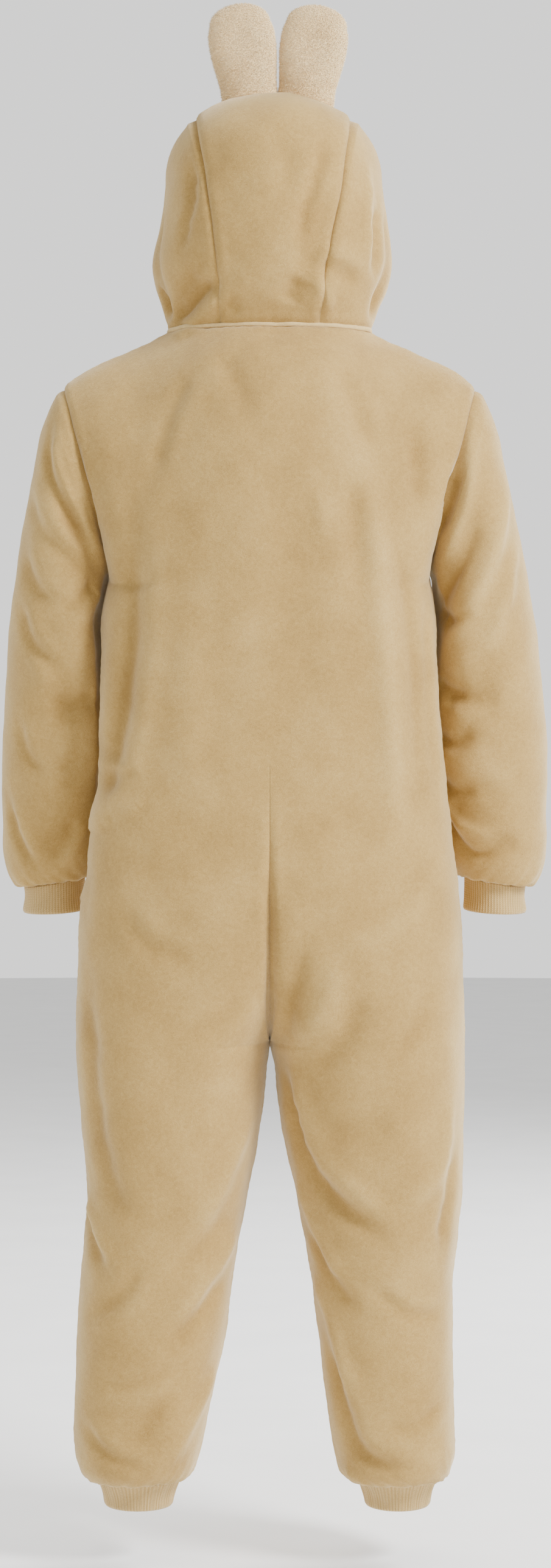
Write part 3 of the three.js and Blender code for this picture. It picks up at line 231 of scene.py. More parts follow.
@dataclass(frozen=True)
class BodyForm:
    """Level sections of the body and legs, and the panels that are cut over them."""

    back_fullness: float = 2.35
    front_fullness: float = 1.85
    shoulder_tip: tuple[float, float, float] = (251.0, -3.0, -70.0)
    shoulder_arch: float = 7.0
    neck_half: float = 123.0
    neck_back_y: float = 62.0
    neck_front_y: float = -92.0
    neck_front_z: float = -78.0
    sections: Table = field(default_factory=lambda: Table(
        "z outer_left outer_right inner_left inner_right side_y back_y front_y",
        (
            (-285, 192, 192, 0, 0, -3, 139, -132), (-345, 201, 199, 0, 0, 24, 139, -139),
            (-411, 202, 200, 0, 0, 40, 136, -137), (-485, 204, 206, 0, 0, 44, 135, -145),
            (-559, 210, 212, 0, 0, 42, 139, -146), (-633, 218, 221, 0, 0, 38, 144, -144),
            (-707, 228, 229, 0, 0, 30, 146, -141), (-781, 232, 233, 0, 0, 20, 141, -143),
            (-860, 234, 234, 0, 0, 10, 132, -134), (-890, 233, 235, 4, 7, 8, 129, -131),
            (-944, 229, 235, 10, 13, 6, 124, -127), (-1003, 223, 234, 18, 23, 5, 118, -121),
            (-1032, 221, 233, 24, 30, 5, 114, -118), (-1092, 224, 228, 36, 41, 5, 109, -111),
            (-1151, 228, 222, 46, 52, 5, 104, -104), (-1210, 232, 221, 54, 59, 5, 99, -98),
            (-1269, 235, 222, 65, 66, 5, 94, -92), (-1328, 236, 224, 78, 75, 5, 90, -86),
            (-1358, 235, 224, 85, 80, 5, 88, -82), (-1378, 231, 220, 91, 84, 5, 83, -77),
            (-1387, 224, 215, 97, 91, 5, 75, -68), (-1392, 213, 207, 105, 103, 5, 64, -56),
        ),
    ))
    neck_angles: tuple[float, ...] = (0.0, 0.1634, 0.3312, 0.5096, 0.7631, 1.0549, math.pi / 2)

    def half_section(self, side: Side, z: Array | float) -> dict[str, Array]:
        """One half of a level section through the body, or through a leg below the crotch.

        Args:
            side: the wearer's side.
            z: one or more heights.

        Returns:
            The section's centre, reaches and edges by name.
        """
        z = np.asarray(z, dtype=float)
        leg = z < CROTCH_Z
        outer = self.sections.at(f"outer_{side.word}", z)
        inner = np.where(leg, np.maximum(0.5, self.sections.at(f"inner_{side.word}", z)), 0.0)
        spread = np.clip((RISE_SPREAD_Z - z) / (RISE_SPREAD_Z - CROTCH_Z), 0.0, 1.0) ** 1.4
        leg_half = float(self.sections.at("outer_left", CROTCH_Z)) / 2
        centre = np.where(leg, (outer + inner) / 2, leg_half * spread)
        return {
            "centre": centre,
            "outer_half": outer - centre,
            "inner_half": np.where(leg, centre - inner, leg_half),
            "share": np.where(leg, 1.0, spread),
            "side_y": self.sections.at("side_y", z),
            "back_y": self.sections.at("back_y", z),
            "front_y": self.sections.at("front_y", z),
        }

    def section_line(self, side: Side, face: Face, z: float) -> Array:
        """The section's line from the side seam round to the centre line or inseam."""
        s = self.half_section(side, z)
        fullness = self.back_fullness if face is Face.BACK else self.front_fullness
        reach = (s["back_y"] if face is Face.BACK else s["front_y"]) - s["side_y"]
        angle = np.linspace(0.0, math.acos(-float(s["share"]) ** (fullness / 2)), 97)
        across = np.cos(angle)
        half = np.where(across > 0, s["outer_half"], s["inner_half"])
        x = s["centre"] + np.sign(across) * half * np.abs(across) ** (2 / fullness)
        y = s["side_y"] + reach * np.maximum(np.sin(angle), 0.0) ** (2 / fullness)
        return np.stack([side.value * np.maximum(0.0, x), y, np.full_like(x, z)], axis=-1)

    def row(self, side: Side, face: Face, z: float, shares: Array) -> Array:
        """Points of a level row, at shares of its length from the side seam.

        Args:
            side: the wearer's side.
            face: the back or the front.
            z: the row's height.
            shares: places from the side seam at 0 to the centre line at 1.

        Returns:
            One point for each share. Round the crotch the outer half keeps its spacing.
        """
        line = self.section_line(side, face, z)
        if z >= SEAT_TOP_Z or z <= THIGH_Z:
            return along_line(line, shares)
        lengths = [running_length(self.section_line(side, face, end))[-1] for end in (SEAT_TOP_Z, THIGH_Z)]
        even = mix(lengths[0], lengths[1], (SEAT_TOP_Z - z) / (SEAT_TOP_Z - THIGH_Z))
        total = running_length(line)[-1]
        wanted = np.where(shares <= 0.5, even * shares, mix(even / 2, total, 2 * shares - 1))
        return along_line(line, wanted / total)

    def reach(self, side: Side, y: Array, z: Array) -> Array:
        """How far the body's side reaches at a height and depth."""
        s = self.half_section(side, np.minimum(UNDERARM_Z, z))
        behind = y > s["side_y"]
        fullness = np.where(behind, self.back_fullness, self.front_fullness)
        depth = np.abs(y - s["side_y"]) / np.abs(np.where(behind, s["back_y"], s["front_y"]) - s["side_y"])
        return s["centre"] + s["outer_half"] * np.maximum(0.0, 1 - depth**fullness) ** (1 / fullness)

    def neck(self, side: Side, face: Face, units: Array) -> Array:
        """The neck seam, from the centre line at 0 to the shoulder seam at 6.

        Args:
            side: the wearer's side.
            face: the back or the front of the neck.
            units: places along the seam.

        Returns:
            One point for each place.
        """
        if face is Face.BACK:
            angle = np.interp(units, np.arange(NECK_UNITS + 1), self.neck_angles)
            x = self.neck_half * np.sin(angle)
            y = self.neck_back_y * np.cos(angle)
            z = np.full_like(x, NAPE_Z)
        else:
            angle = (math.pi / 2) * (1 - np.asarray(units, dtype=float) / NECK_UNITS)
            x = mix(ZIP_HALF, self.neck_half, np.cos(angle))
            y = self.neck_front_y * np.sin(angle)
            z = mix(NAPE_Z, self.neck_front_z, 1 - np.cos(angle))
        return np.stack([side.value * x, y, z], axis=-1)

    def half_panel(self, side: Side, face: Face, armhole: Array) -> Array:
        """The left or right half of the back or front, from neck and shoulder to the leg's hem.

        Args:
            side: the wearer's side.
            face: the back or the front.
            armhole: the armhole's points from the shoulder to the underarm, one for each yoke row.

        Returns:
            A grid of points whose column 0 is the centre line.
        """
        columns = panel_columns()
        shares = columns / PANEL_UNITS
        top = self._top(side, face, columns)
        foot_z = mix(YOKE_END_Z, UNDERARM_Z, shares**12)
        foot = self._single(side, face, foot_z, shares)
        out = smooth((shares - 0.5) / 0.5)[:, None]
        lead = [np.zeros_like(out), face.value * mix(0.82, 1.0, out), mix(-0.58, -0.12, out)]
        lead = np.concatenate(lead, axis=1)
        first = top + lead * mix(92.0, 48.0, out)
        last = foot.copy()
        last[:, 2] += (top[:, 2] - foot[:, 2]) * 0.4
        near = smooth((shares - 0.42) / 0.58)[:, None]
        rows = []
        for step, hole in zip(yoke_rows(), armhole):
            a, b, c, d = (1 - step) ** 3, 3 * step * (1 - step) ** 2, 3 * step**2 * (1 - step), step**3
            path = a * top + b * first + c * last + d * foot
            line = path + (hole - path[-1]) * near
            line[-1] = hole
            rows.append(self._eased(line, step))
        for part in np.linspace(0, 1, 8)[1:-1]:
            heights = mix(foot_z, BODY_ROWS[0], part)
            rows.append(self._single(side, face, heights, shares))
        rows += [self.row(side, face, z, 1 - shares) for z in BODY_ROWS]
        grid = np.array(rows)
        if face is Face.FRONT:
            opened = smooth((grid[:, :1, 2] - ZIP_FOOT_Z + 6) / 6)
            x = np.abs(grid[:, :, 0])
            edge = x[:, :1]
            eased = ZIP_HALF + (x - edge) * (ZIP_OPENS_TO - ZIP_HALF) / (ZIP_OPENS_TO - edge)
            grid[:, :, 0] = side.value * np.where(x < ZIP_OPENS_TO, mix(x, eased, opened), x)
        return grid

    def _single(self, side: Side, face: Face, heights: Array, shares: Array) -> Array:
        """One point at each height, at its own share from the centre line."""
        return np.array([self.row(side, face, z, np.array([1 - s]))[0] for z, s in zip(heights, shares)])

    @staticmethod
    def _eased(line: Array, step: float) -> Array:
        """A yoke row without the kink that comes down from the corner of neck and shoulder."""
        columns = panel_columns()
        weight = smooth(step / 0.1) * np.exp(-(((columns - NECK_UNITS) / 1.9) ** 2)) * 0.5
        weight[[0, -1]] = 0.0
        for _ in range(90):
            spread = line.copy()
            spread[1:-1] = (line[:-2] + line[2:]) / 2
            line = mix(line, spread, weight[:, None])
        return line

    def _top(self, side: Side, face: Face, columns: Array) -> Array:
        """The neck seam and the arched shoulder seam, in one line from the centre."""
        neck = self.neck(side, face, np.minimum(columns, NECK_UNITS))
        end = self.neck(side, Face.BACK, np.array([NECK_UNITS]))[0]
        tip = np.array(self.shoulder_tip) * (side.value, 1, 1)
        share = np.clip((columns - NECK_UNITS) / (PANEL_UNITS - NECK_UNITS), 0, 1)[:, None]
        shoulder = mix(end, tip, share)
        shoulder[:, 2] += self.shoulder_arch * np.sin(math.pi * share[:, 0] ** 2)
        return np.where(columns[:, None] <= NECK_UNITS, neck, shoulder)


@dataclass(frozen=True)
class SleeveForm:
    """Slanting rings of the sleeves, from the armhole to the wrist seam."""

    body: BodyForm
    fullness: float = 2.15
    armhole_back: float = 64.0
    armhole_front: float = 70.0
    clearance: float = 7.0
    reach_left: float = -10.0
    reach_right: float = 2.0
    rings: Table = field(default_factory=lambda: Table(
        "ring outer_x outer_z inner_x inner_z centre_y depth lean spread",
        (
            (0, 251, -70, 192, -285, -3, 67, 0, 0), (1, 265, -90, 196, -300, -6, 72, 0, 0),
            (2, 279, -127, 197, -316, -10, 76, 0, 0), (3, 291, -180, 197, -340, -15, 79, 0, 0.1),
            (4, 303, -240, 196, -370, -20, 80, 0.01, 0.2), (5, 315, -302, 195, -405, -25, 80, 0.02, 0.4),
            (6, 325, -364, 195, -442, -30, 79, 0.03, 0.6), (7, 332, -424, 196, -482, -36, 77, 0.04, 0.8),
            (8, 337, -482, 198, -523, -42, 74, 0.06, 1), (9, 339, -538, 202, -563, -48, 71, 0.08, 1),
            (10, 338, -586, 207, -599, -54, 68, 0.1, 1), (11, 338, -626, 213, -628, -59, 63, 0.1, 1),
            (12, 335, -652, 220, -648, -62, 56, 0.1, 1), (13, 327, -670, 228, -659, -64, 48, 0.1, 1),
            (14, 315, -677, 237, -663, -65, 39, 0.1, 1),
        ),
    ))

    def reach(self, side: Side) -> float:
        """How much farther out this side's arm is held than the table says."""
        return self.reach_left if side is Side.LEFT else self.reach_right

    def turns(self) -> Array:
        """Places round a ring: the back's yoke rows, then the front's in reverse."""
        rows = yoke_rows()
        return np.concatenate([0.5 * rows, 1 - 0.5 * rows[-2:0:-1]])

    def ring(self, side: Side, station: float, turns: Array) -> Array:
        """One ring from the outer edge round the back, underarm and front.

        Args:
            side: the wearer's side.
            station: the place down the sleeve, in rings.
            turns: places round the ring, from 0 to 1.

        Returns:
            One point for each turn.
        """
        at = {name: float(self.rings.at(name, station)) for name in self.rings.columns}
        shift = self.reach(side) * at["spread"]
        outer = np.array([at["outer_x"] + shift, 0.0, at["outer_z"]])
        inner = np.array([at["inner_x"] + shift, 0.0, at["inner_z"]])
        half = np.linalg.norm(outer - inner) / 2
        across = (outer - inner) / (2 * half)
        centre = (outer + inner) / 2
        centre[1] = at["centre_y"]
        angle = 2 * math.pi * np.asarray(turns)
        c = np.sign(np.cos(angle)) * np.abs(np.cos(angle)) ** (2 / self.fullness)
        s = np.sign(np.sin(angle)) * np.abs(np.sin(angle)) ** (2 / self.fullness)
        armhole = np.where(s > 0, self.armhole_back, self.armhole_front)
        depth = mix(at["depth"], armhole, max(0.0, 1 - station)) * s
        points = centre + half * c[:, None] * across
        points[:, 1] += depth
        points[:, 2] -= depth * at["lean"]
        spare = self.clearance * min(1.0, station / 1.5)
        limit = self.body.reach(side, points[:, 1], points[:, 2]) + spare
        points[:, 0] = np.where(points[:, 2] < UNDERARM_Z, np.maximum(points[:, 0], limit), points[:, 0])
        points[:, 0] *= side.value
        return points

    def armhole(self, side: Side, face: Face) -> Array:
        """The armhole from the shoulder to the underarm, one point for each yoke row."""
        rows = yoke_rows()
        return self.ring(side, 0.0, 0.5 * rows if face is Face.BACK else 1 - 0.5 * rows)

    def grid(self, side: Side) -> Array:
        """The whole sleeve as rings, close together at both seams."""
        turns = self.turns()
        stations = [0, 0.05, 0.12, 0.22, 0.35, 0.5, 0.66, 0.83, *finer([1, 12], 0.1), 12.25, 12.5, 12.75]
        stations += [13, 13.2, 13.4, 13.55, 13.7, 13.82, 13.92, 14]
        return np.array([self.ring(side, station, turns) for station in stations])


@dataclass(frozen=True)
class HoodForm:
    """The hood as a head-sized form, and the three panels that are cut over it."""

    body: BodyForm
    fullness: float = 2.2
    crown_base: float = 181.0
    crown_height: float = 106.0
    crown_fullness: float = 2.15
    core: tuple[float, float, float] = (0.0, -8.0, 118.0)
    rows: int = 96
    pull: float = 2.2
    forehead_turn: float = 117.0
    forehead_curve: float = 8.0
    first_turn: float = -60.0
    sections: Table = field(default_factory=lambda: Table(
        "z half widest_y back_y front_y",
        (
            (-78, 96, -30, 50, -94), (-40, 112, -24, 55, -100), (0, 124, -18, 64, -112),
            (30, 131, -26, 86, -132),
            (60, 142, -34, 102, -148), (90, 146, -34, 112, -156), (125, 141, -26, 118, -160),
            (181, 131, -12, 117, -160),
        ),
    ))
    leans: Table = field(default_factory=lambda: Table(
        "z shift", ((0, 0), (60, -2), (150, -5.5), (220, -4.5), (287, -4)),
    ))
    widths: Table = field(default_factory=lambda: Table(
        "turn half", ((-60, 60), (-20, 68), (5, 76), (30, 84), (60, 93), (90, 94), (122, 84)),
    ))
    face_edge: tuple[tuple[float, float, float], ...] = (
        (86, -92, 226), (110, -91, 184), (126, -90, 136), (133, -89, 88),
        (122, -90, 42), (92, -94, 6), (50, -100, -18), (ZIP_HALF, -104, -28),
    )

    def outside(self, points: Array) -> Array:
        """Whether each point lies outside the hood's form."""
        z = points[:, 2]
        rise = np.maximum(0.0, (z - self.crown_base) / self.crown_height)
        full = self.crown_fullness
        close = np.maximum(1e-6, 1 - np.minimum(rise, 1.0) ** full) ** (1 / full)
        level = np.minimum(self.crown_base, z)
        half, widest, back, front = (
            self.sections.at(name, level) * close for name in ("half", "widest_y", "back_y", "front_y")
        )
        reach = np.where(points[:, 1] > widest, back - widest, widest - front)
        spread = (np.abs(points[:, 0]) / half) ** self.fullness
        depth = (np.abs(points[:, 1] - widest) / reach) ** self.fullness
        return (rise >= 1) | (spread + depth > 1)

    def point(self, directions: Array, start: Array | None = None) -> Array:
        """Points of the form on lines away from the middle of the head.

        Args:
            directions: one direction for each point.
            start: where the lines start, or the middle of the head.

        Returns:
            One point for each direction.
        """
        start = np.broadcast_to(np.array(self.core) if start is None else start, directions.shape)
        near = np.full(len(directions), 20.0)
        far = np.full(len(directions), 320.0)
        for _ in range(40):
            middle = (near + far) / 2
            out = self.outside(start + directions * middle[:, None])
            far = np.where(out, middle, far)
            near = np.where(out, near, middle)
        return start + directions * near[:, None]

    def leaned(self, points: Array) -> Array:
        """The points with the head's slight lean to one side."""
        made = points.copy()
        made[..., 0] += self.leans.at("shift", points[..., 2])
        return made

    def strip_column(self, side: Side, units: float) -> Array:
        """A column of the centre strip from the nape to the forehead, units out from its middle."""
        neck = self.body.neck(side, Face.BACK, np.array([units]))[0]
        share = side.value * units / STRIP_UNITS
        s = np.linspace(0, 1, self.rows + 1)
        turn = mix(self.first_turn, self.forehead_turn + self.forehead_curve * share * share, s)
        angle = np.radians(turn)
        start = np.array(self.core) + np.stack([self.widths.at("half", turn) * share, 0 * s, 0 * s], axis=-1)
        free = self.point(np.stack([0 * s, np.cos(angle), np.sin(angle)], axis=-1), start)
        points = free + (neck - free[0]) * self.settled(s)[:, None]
        points[0] = neck
        return points

    @staticmethod
    def settled(s: Array) -> Array:
        """How much a row still follows the neck seam, at a share s of the way up."""
        return 1 - smooth(s * 16 / 5)

    def strip_units(self) -> Array:
        """Columns of the strip's half, which share their places with the neck seam's."""
        columns = panel_columns()
        return columns[columns <= STRIP_UNITS]

    def strip_grid(self) -> Array:
        """The centre strip: rows from the nape to the forehead, columns from right to left."""
        units = self.strip_units()
        right = [self.strip_column(Side.RIGHT, value) for value in units[:0:-1]]
        left = [self.strip_column(Side.LEFT, value) for value in units]
        return self.leaned(np.stack(right + left, axis=1))

    def side_units(self) -> tuple[Array, Array]:
        """Columns of a hood side along the back and then the front of the neck."""
        columns = panel_columns()
        back = columns[(columns >= STRIP_UNITS) & (columns <= NECK_UNITS)]
        return back, columns[columns < NECK_UNITS][::-1]

    def side_grid(self, side: Side) -> Array:
        """One side of the hood: rows from the neck seam to the face hem, columns from strip to zip."""
        back_units, front_units = self.side_units()
        seam = np.concatenate([
            self.body.neck(side, Face.BACK, back_units), self.body.neck(side, Face.FRONT, front_units),
        ])
        units = np.concatenate([back_units - STRIP_UNITS, STRIP_UNITS + NECK_UNITS - front_units])
        t = units / units[-1]
        s = np.linspace(0, 1, self.rows + 1)
        edge = np.array(self.face_edge) * (side.value, 1, 1)
        run = running_length(edge)
        curve = Table("run x y z", np.column_stack([run, edge]))
        fine = np.linspace(0, run[-1], 241)
        hem_line = np.stack([curve.at(name, fine) for name in "xyz"], axis=-1)
        hem = along_line(hem_line, t)
        strip = self.strip_column(side, STRIP_UNITS)
        chin = mix(seam[-1], edge[-1], s[:, None])
        aim_strip, aim_zip, aim_foot, aim_hem = (unit(line - self.core) for line in (strip, chin, seam, hem))
        aim_hem[0] = aim_strip[-1]
        aim_hem[-1] = aim_zip[-1]
        base = mix(aim_foot[None], aim_hem[None], s[:, None, None])
        strip_bow = aim_strip - mix(aim_strip[0], aim_strip[-1], s[:, None])
        zip_bow = aim_zip - mix(aim_zip[0], aim_zip[-1], s[:, None])
        aim = base + strip_bow[:, None] * ((1 - t) ** self.pull)[None, :, None]
        aim = unit(aim + zip_bow[:, None] * (t**self.pull)[None, :, None])
        free = self.point(aim.reshape(-1, 3)).reshape(aim.shape)
        free = free + (seam - free[0])[None] * self.settled(s)[:, None, None]
        close = smooth(1 - (units[-1] - units) / 2)[None, :, None]
        grid = self.leaned(mix(free, chin[:, None], close))
        grid[:, 0] = self.leaned(strip)
        grid[0] = seam
        return grid


@dataclass(frozen=True)
class Fold:
    """A soft trough or ridge on a line of the cloth.

    line holds (x, z) places as they are seen from behind or from the front, width is the
    half-width of its round profile, height is what it rises, and lip is the ridge that it
    pushes up on the side to the left of the line.
    """

    face: Face
    line: tuple[tuple[float, float], ...]
    width: float
    height: float
    lip: float = 0.0


def back_fold(width: float, height: float, *line: tuple[float, float], lip: float = 0.0) -> Fold:
    """A fold seen from behind."""
    return Fold(Face.BACK, line, width, height, lip)


def front_fold(width: float, height: float, *line: tuple[float, float], lip: float = 0.0) -> Fold:
    """A fold seen from the front."""
    return Fold(Face.FRONT, line, width, height, lip)


LARGE_FOLDS = (
    # Back
    back_fold(
        16, -10, (162, -215), (163, -330), (167, -400), (177, -470), (191, -545), (208, -620), (221, -700),
        lip=4,
    ),
    back_fold(13, -5, (-170, -110), (-174, -160), (-178, -225)),
    back_fold(17, 6.5, (-114, -180), (-128, -300), (-140, -450), (-150, -620)),
    back_fold(12, -5, (-146, -260), (-164, -335), (-173, -430), (-180, -560)),
    back_fold(14, -4, (-97, -190), (-102, -270), (-104, -340)),
    back_fold(32, -3.5, (-28, -200), (-34, -340), (-40, -480)),
    back_fold(26, 3, (95, -330), (98, -450), (100, -560)),
    # Seat
    back_fold(14, -7, (-8, -862), (-24, -805), (-42, -735)),
    back_fold(14, -6, (-46, -896), (-84, -852), (-112, -795)),
    back_fold(15, 4.5, (-34, -862), (-66, -806), (-84, -750)),
    back_fold(15, -3.5, (-60, -960), (-105, -964), (-152, -948)),
    back_fold(13, -3, (-148, -875), (-176, -830), (-192, -775)),
    # Leg at the left, seen from behind
    back_fold(17, -8, (216, -780), (212, -900), (204, -965), (194, -1005), (176, -1050), (148, -1064)),
    back_fold(10, -8, (229, -1038), (216, -1092), (197, -1132), lip=5),
    back_fold(12, 5.5, (24, -955), (44, -1000), (62, -1038), (96, -1082)),
    back_fold(12, -4.5, (46, -1062), (80, -1100), (118, -1136)),
    back_fold(11, 5.5, (38, -1088), (62, -1126), (95, -1166), (128, -1198)),
    back_fold(12, -5, (54, -1145), (88, -1188), (120, -1222)),
    back_fold(12, 5, (62, -1245), (80, -1290), (108, -1338), (132, -1362)),
    back_fold(13, -4, (92, -1225), (130, -1290), (164, -1344)),
    # Leg at the right, seen from behind
    back_fold(13, -10, (-14, -880), (-30, -960), (-52, -1015), (-90, -1056), (-138, -1092), lip=5),
    back_fold(12, 5.5, (-30, -1005), (-46, -1060), (-66, -1103), (-92, -1148)),
    back_fold(11, -6, (-44, -1085), (-70, -1135), (-106, -1180)),
    back_fold(11, 5, (-52, -1140), (-74, -1190), (-86, -1240), (-96, -1290)),
    back_fold(12, -8, (-66, -1215), (-88, -1295), (-104, -1340), (-130, -1362), (-176, -1372), lip=3),
    back_fold(10, 5, (-216, -925), (-206, -1000), (-182, -1032), (-148, -1052)),
    back_fold(11, -7, (-224, -985), (-213, -1050), (-203, -1108)),
    # Front
    front_fold(22, -8, (120, -250), (96, -560)),
    front_fold(22, -8, (-112, -270), (-100, -590)),
    front_fold(24, 7, (62, -520), (120, -760)),
    front_fold(24, 7, (-66, -540), (-128, -780)),
    front_fold(18, -9, (46, -905), (130, -1010), lip=3),
    front_fold(18, -9, (-44, -915), (-125, -1030), lip=3),
    front_fold(16, -8, (70, -1150), (150, -1240), lip=3),
    front_fold(16, -8, (-74, -1130), (-150, -1230), lip=3),
    front_fold(15, 6, (190, -1250), (120, -1340)),
    front_fold(15, 6, (-185, -1260), (-115, -1340)),
)

# The same folds run round both sleeves, from a ring and turn to another.
SLEEVE_FOLDS = Table(
    "row ring turn end_ring end_turn width height",
    (
        (0, 1.5, 0.22, 5, 0.4, 15, -7), (1, 2.5, 0.12, 6.5, 0.33, 17, 6), (2, 4, 0.08, 7.5, 0.3, 15, -5),
        (3, 6.2, 0.4, 7.2, 0.22, 17, -8), (4, 7.6, 0.42, 9, 0.2, 15, 5), (5, 9, 0.4, 11, 0.2, 13, -6),
        (6, 2.5, 0.8, 6, 0.62, 17, -7), (7, 7, 0.66, 8.5, 0.86, 16, -7), (8, 9.5, 0.9, 11.2, 0.7, 14, 5),
    ),
)

# Folds of the hood from a level and a turn to another. A turn of 0 is the centre back and 1 the side.
HOOD_FOLDS = Table(
    "row z turn end_z end_turn width height",
    (
        (0, 0, 0.93, 150, 0.95, 15, -12), (1, 0, -0.93, 150, -0.95, 15, -12),
        (2, 60, 0.5, 10, 0.85, 12, -6), (3, 150, -0.35, 30, -0.22, 18, -5),
    ),
)

CREASES = (
    # Sleeve at the left, seen from behind
    back_fold(7, -6, (264, -120), (266, -168), (252, -208), (230, -250), (211, -288), lip=3.5),
    back_fold(10, -4, (292, -205), (272, -250), (242, -280), (212, -292), lip=2),
    back_fold(9, -4.5, (296, -275), (278, -318), (258, -334), lip=2.5),
    back_fold(9, -4.5, (303, -335), (286, -382), (258, -412), lip=2.5),
    back_fold(13, 3.5, (284, -392), (276, -412), (266, -434)),
    back_fold(9, -5, (210, -300), (228, -330), (252, -346), lip=2.5),
    back_fold(9, -5, (212, -436), (232, -452), (262, -450), lip=-2.5),
    back_fold(8, -3.5, (306, -470), (292, -520), (268, -542), lip=2),
    back_fold(9, -4, (222, -500), (244, -528), (262, -532), lip=-2),
    back_fold(8, -6, (319, -570), (306, -618), (288, -650), lip=3),
    back_fold(8, -4, (238, -590), (252, -626), (268, -640), lip=2.5),
    # Sleeve at the right, seen from behind
    back_fold(9, 6, (-243, -120), (-237, -205), (-222, -252), (-203, -295)),
    back_fold(9, -8, (-229, -170), (-216, -214), (-202, -248)),
    back_fold(10, -6.5, (-254, -232), (-228, -288), (-204, -332)),
    back_fold(11, 6, (-286, -175), (-281, -230), (-262, -290), (-236, -345), (-214, -382)),
    back_fold(9, -7, (-204, -340), (-222, -354), (-248, -338)),
    back_fold(11, 5, (-301, -250), (-286, -320), (-266, -376), (-238, -396)),
    back_fold(9, -7, (-203, -424), (-218, -440), (-242, -444), lip=-3),
    back_fold(11, 5, (-214, -458), (-240, -466), (-274, -452)),
    back_fold(10, -7, (-204, -494), (-224, -502), (-248, -484)),
    back_fold(10, -6, (-206, -540), (-226, -560), (-252, -554)),
    back_fold(9, 5, (-210, -570), (-232, -600), (-260, -610), (-298, -598)),
    back_fold(8, -7, (-214, -594), (-232, -624), (-252, -638), (-292, -628)),
    # Yoke and back
    back_fold(11, -3.5, (96, -60), (124, -128), (142, -190), lip=1.6),
    back_fold(11, -3, (-84, -60), (-104, -110), (-118, -150), lip=1.4),
    back_fold(14, -3, (58, -34), (30, -96), (6, -150)),
    back_fold(10, 2.5, (-56, -205), (-62, -235), (-66, -262)),
    back_fold(10, -3.4, (-186, -330), (-190, -476), (-198, -560), lip=1.6),
    back_fold(12, -3, (176, -700), (140, -744), (84, -760), lip=1.6),
    back_fold(12, -2.6, (-182, -640), (-138, -700), (-70, -722), lip=1.4),
    back_fold(9, -4, (5, -640), (-3, -740), (-4, -850)),
    back_fold(12, -3.4, (26, -790), (66, -832), (116, -846), lip=1.8),
    # Legs from behind
    back_fold(9, -3.6, (152, -1118), (184, -1166), (218, -1186), lip=2),
    back_fold(9, -3.4, (110, -1236), (150, -1262), (204, -1270), lip=2),
    back_fold(8, -4, (222, -1318), (190, -1352), (150, -1366), lip=2.4),
    back_fold(9, -3.6, (-118, -1146), (-164, -1180), (-206, -1184), lip=2),
    back_fold(8, -3.6, (-206, -1290), (-172, -1316), (-138, -1318), lip=2),
    back_fold(6, 4, (-91, -1370), (-103, -1380), (-118, -1388)),
    # Hood from behind
    back_fold(9, -10, (58, 50), (80, 38), (98, 22), (120, 6), lip=4),
    back_fold(8, -6, (96, 195), (92, 150), (100, 118), (104, 85)),
    back_fold(8, -7, (137, 58), (127, 40), (118, 24), lip=3),
    back_fold(9, -5.5, (-66, 220), (-61, 188), (-50, 150), (-41, 118), (-38, 80)),
    back_fold(14, -6, (-37, 52), (-30, 38), (-22, 22)),
    back_fold(11, -5, (-54, 68), (-80, 61), (-106, 50), lip=2.5),
    back_fold(9, 4.5, (-58, 50), (-67, 32), (-71, 16)),
    back_fold(10, -3.5, (52, 30), (44, 22), (32, 18)),
    back_fold(9, -7, (-131, 150), (-129, 105), (-127, 60)),
    back_fold(8, 5, (-119, 190), (-117, 130), (-117, 70)),
    back_fold(14, -2.6, (-14, 205), (-20, 180), (-18, 150)),
    # Hidden front, on the pattern of the back
    front_fold(9, -6, (286, -250), (250, -322), (212, -368), lip=2.5),
    front_fold(9, -6, (-282, -236), (-250, -310), (-212, -356), lip=2.5),
    front_fold(8, -5, (300, -372), (262, -420), (222, -452), lip=2),
    front_fold(8, -5, (-304, -384), (-264, -436), (-224, -462), lip=2),
    front_fold(8, -4.5, (312, -560), (280, -602), (250, -620), lip=1.8),
    front_fold(8, -4.5, (-318, -548), (-288, -596), (-256, -616), lip=1.8),
    front_fold(11, -4, (58, -120), (104, -182), (146, -214), lip=1.4),
    front_fold(11, -4, (-60, -126), (-100, -196), (-140, -232), lip=1.4),
    front_fold(12, -4, (18, -420), (72, -470), (136, -486), lip=1.3),
    front_fold(12, -3.5, (-18, -470), (-76, -524), (-144, -540), lip=1.3),
    front_fold(11, -3.5, (20, -600), (76, -640), (150, -650), lip=1.3),
    front_fold(11, -4.5, (16, -800), (64, -846), (128, -858), lip=1.6),
    front_fold(11, -4.5, (-16, -806), (-60, -858), (-120, -874), lip=1.6),
    front_fold(9, -6.5, (24, -950), (70, -1012), (132, -1044), lip=3),
    front_fold(9, -6.5, (-28, -962), (-78, -1030), (-142, -1062), lip=3),
    front_fold(9, -5, (206, -1060), (168, -1120), (110, -1146), lip=2),
    front_fold(9, -5, (-208, -1040), (-164, -1108), (-104, -1136), lip=2),
    front_fold(8, -4.5, (84, -1216), (136, -1254), (196, -1262), lip=1.6),
    front_fold(8, -4.5, (-90, -1206), (-144, -1246), (-200, -1250), lip=1.6),
    front_fold(8, -6, (96, -1338), (132, -1366), (184, -1378), lip=2.4),
    front_fold(8, -6, (-98, -1332), (-136, -1362), (-186, -1374), lip=2.4),
)


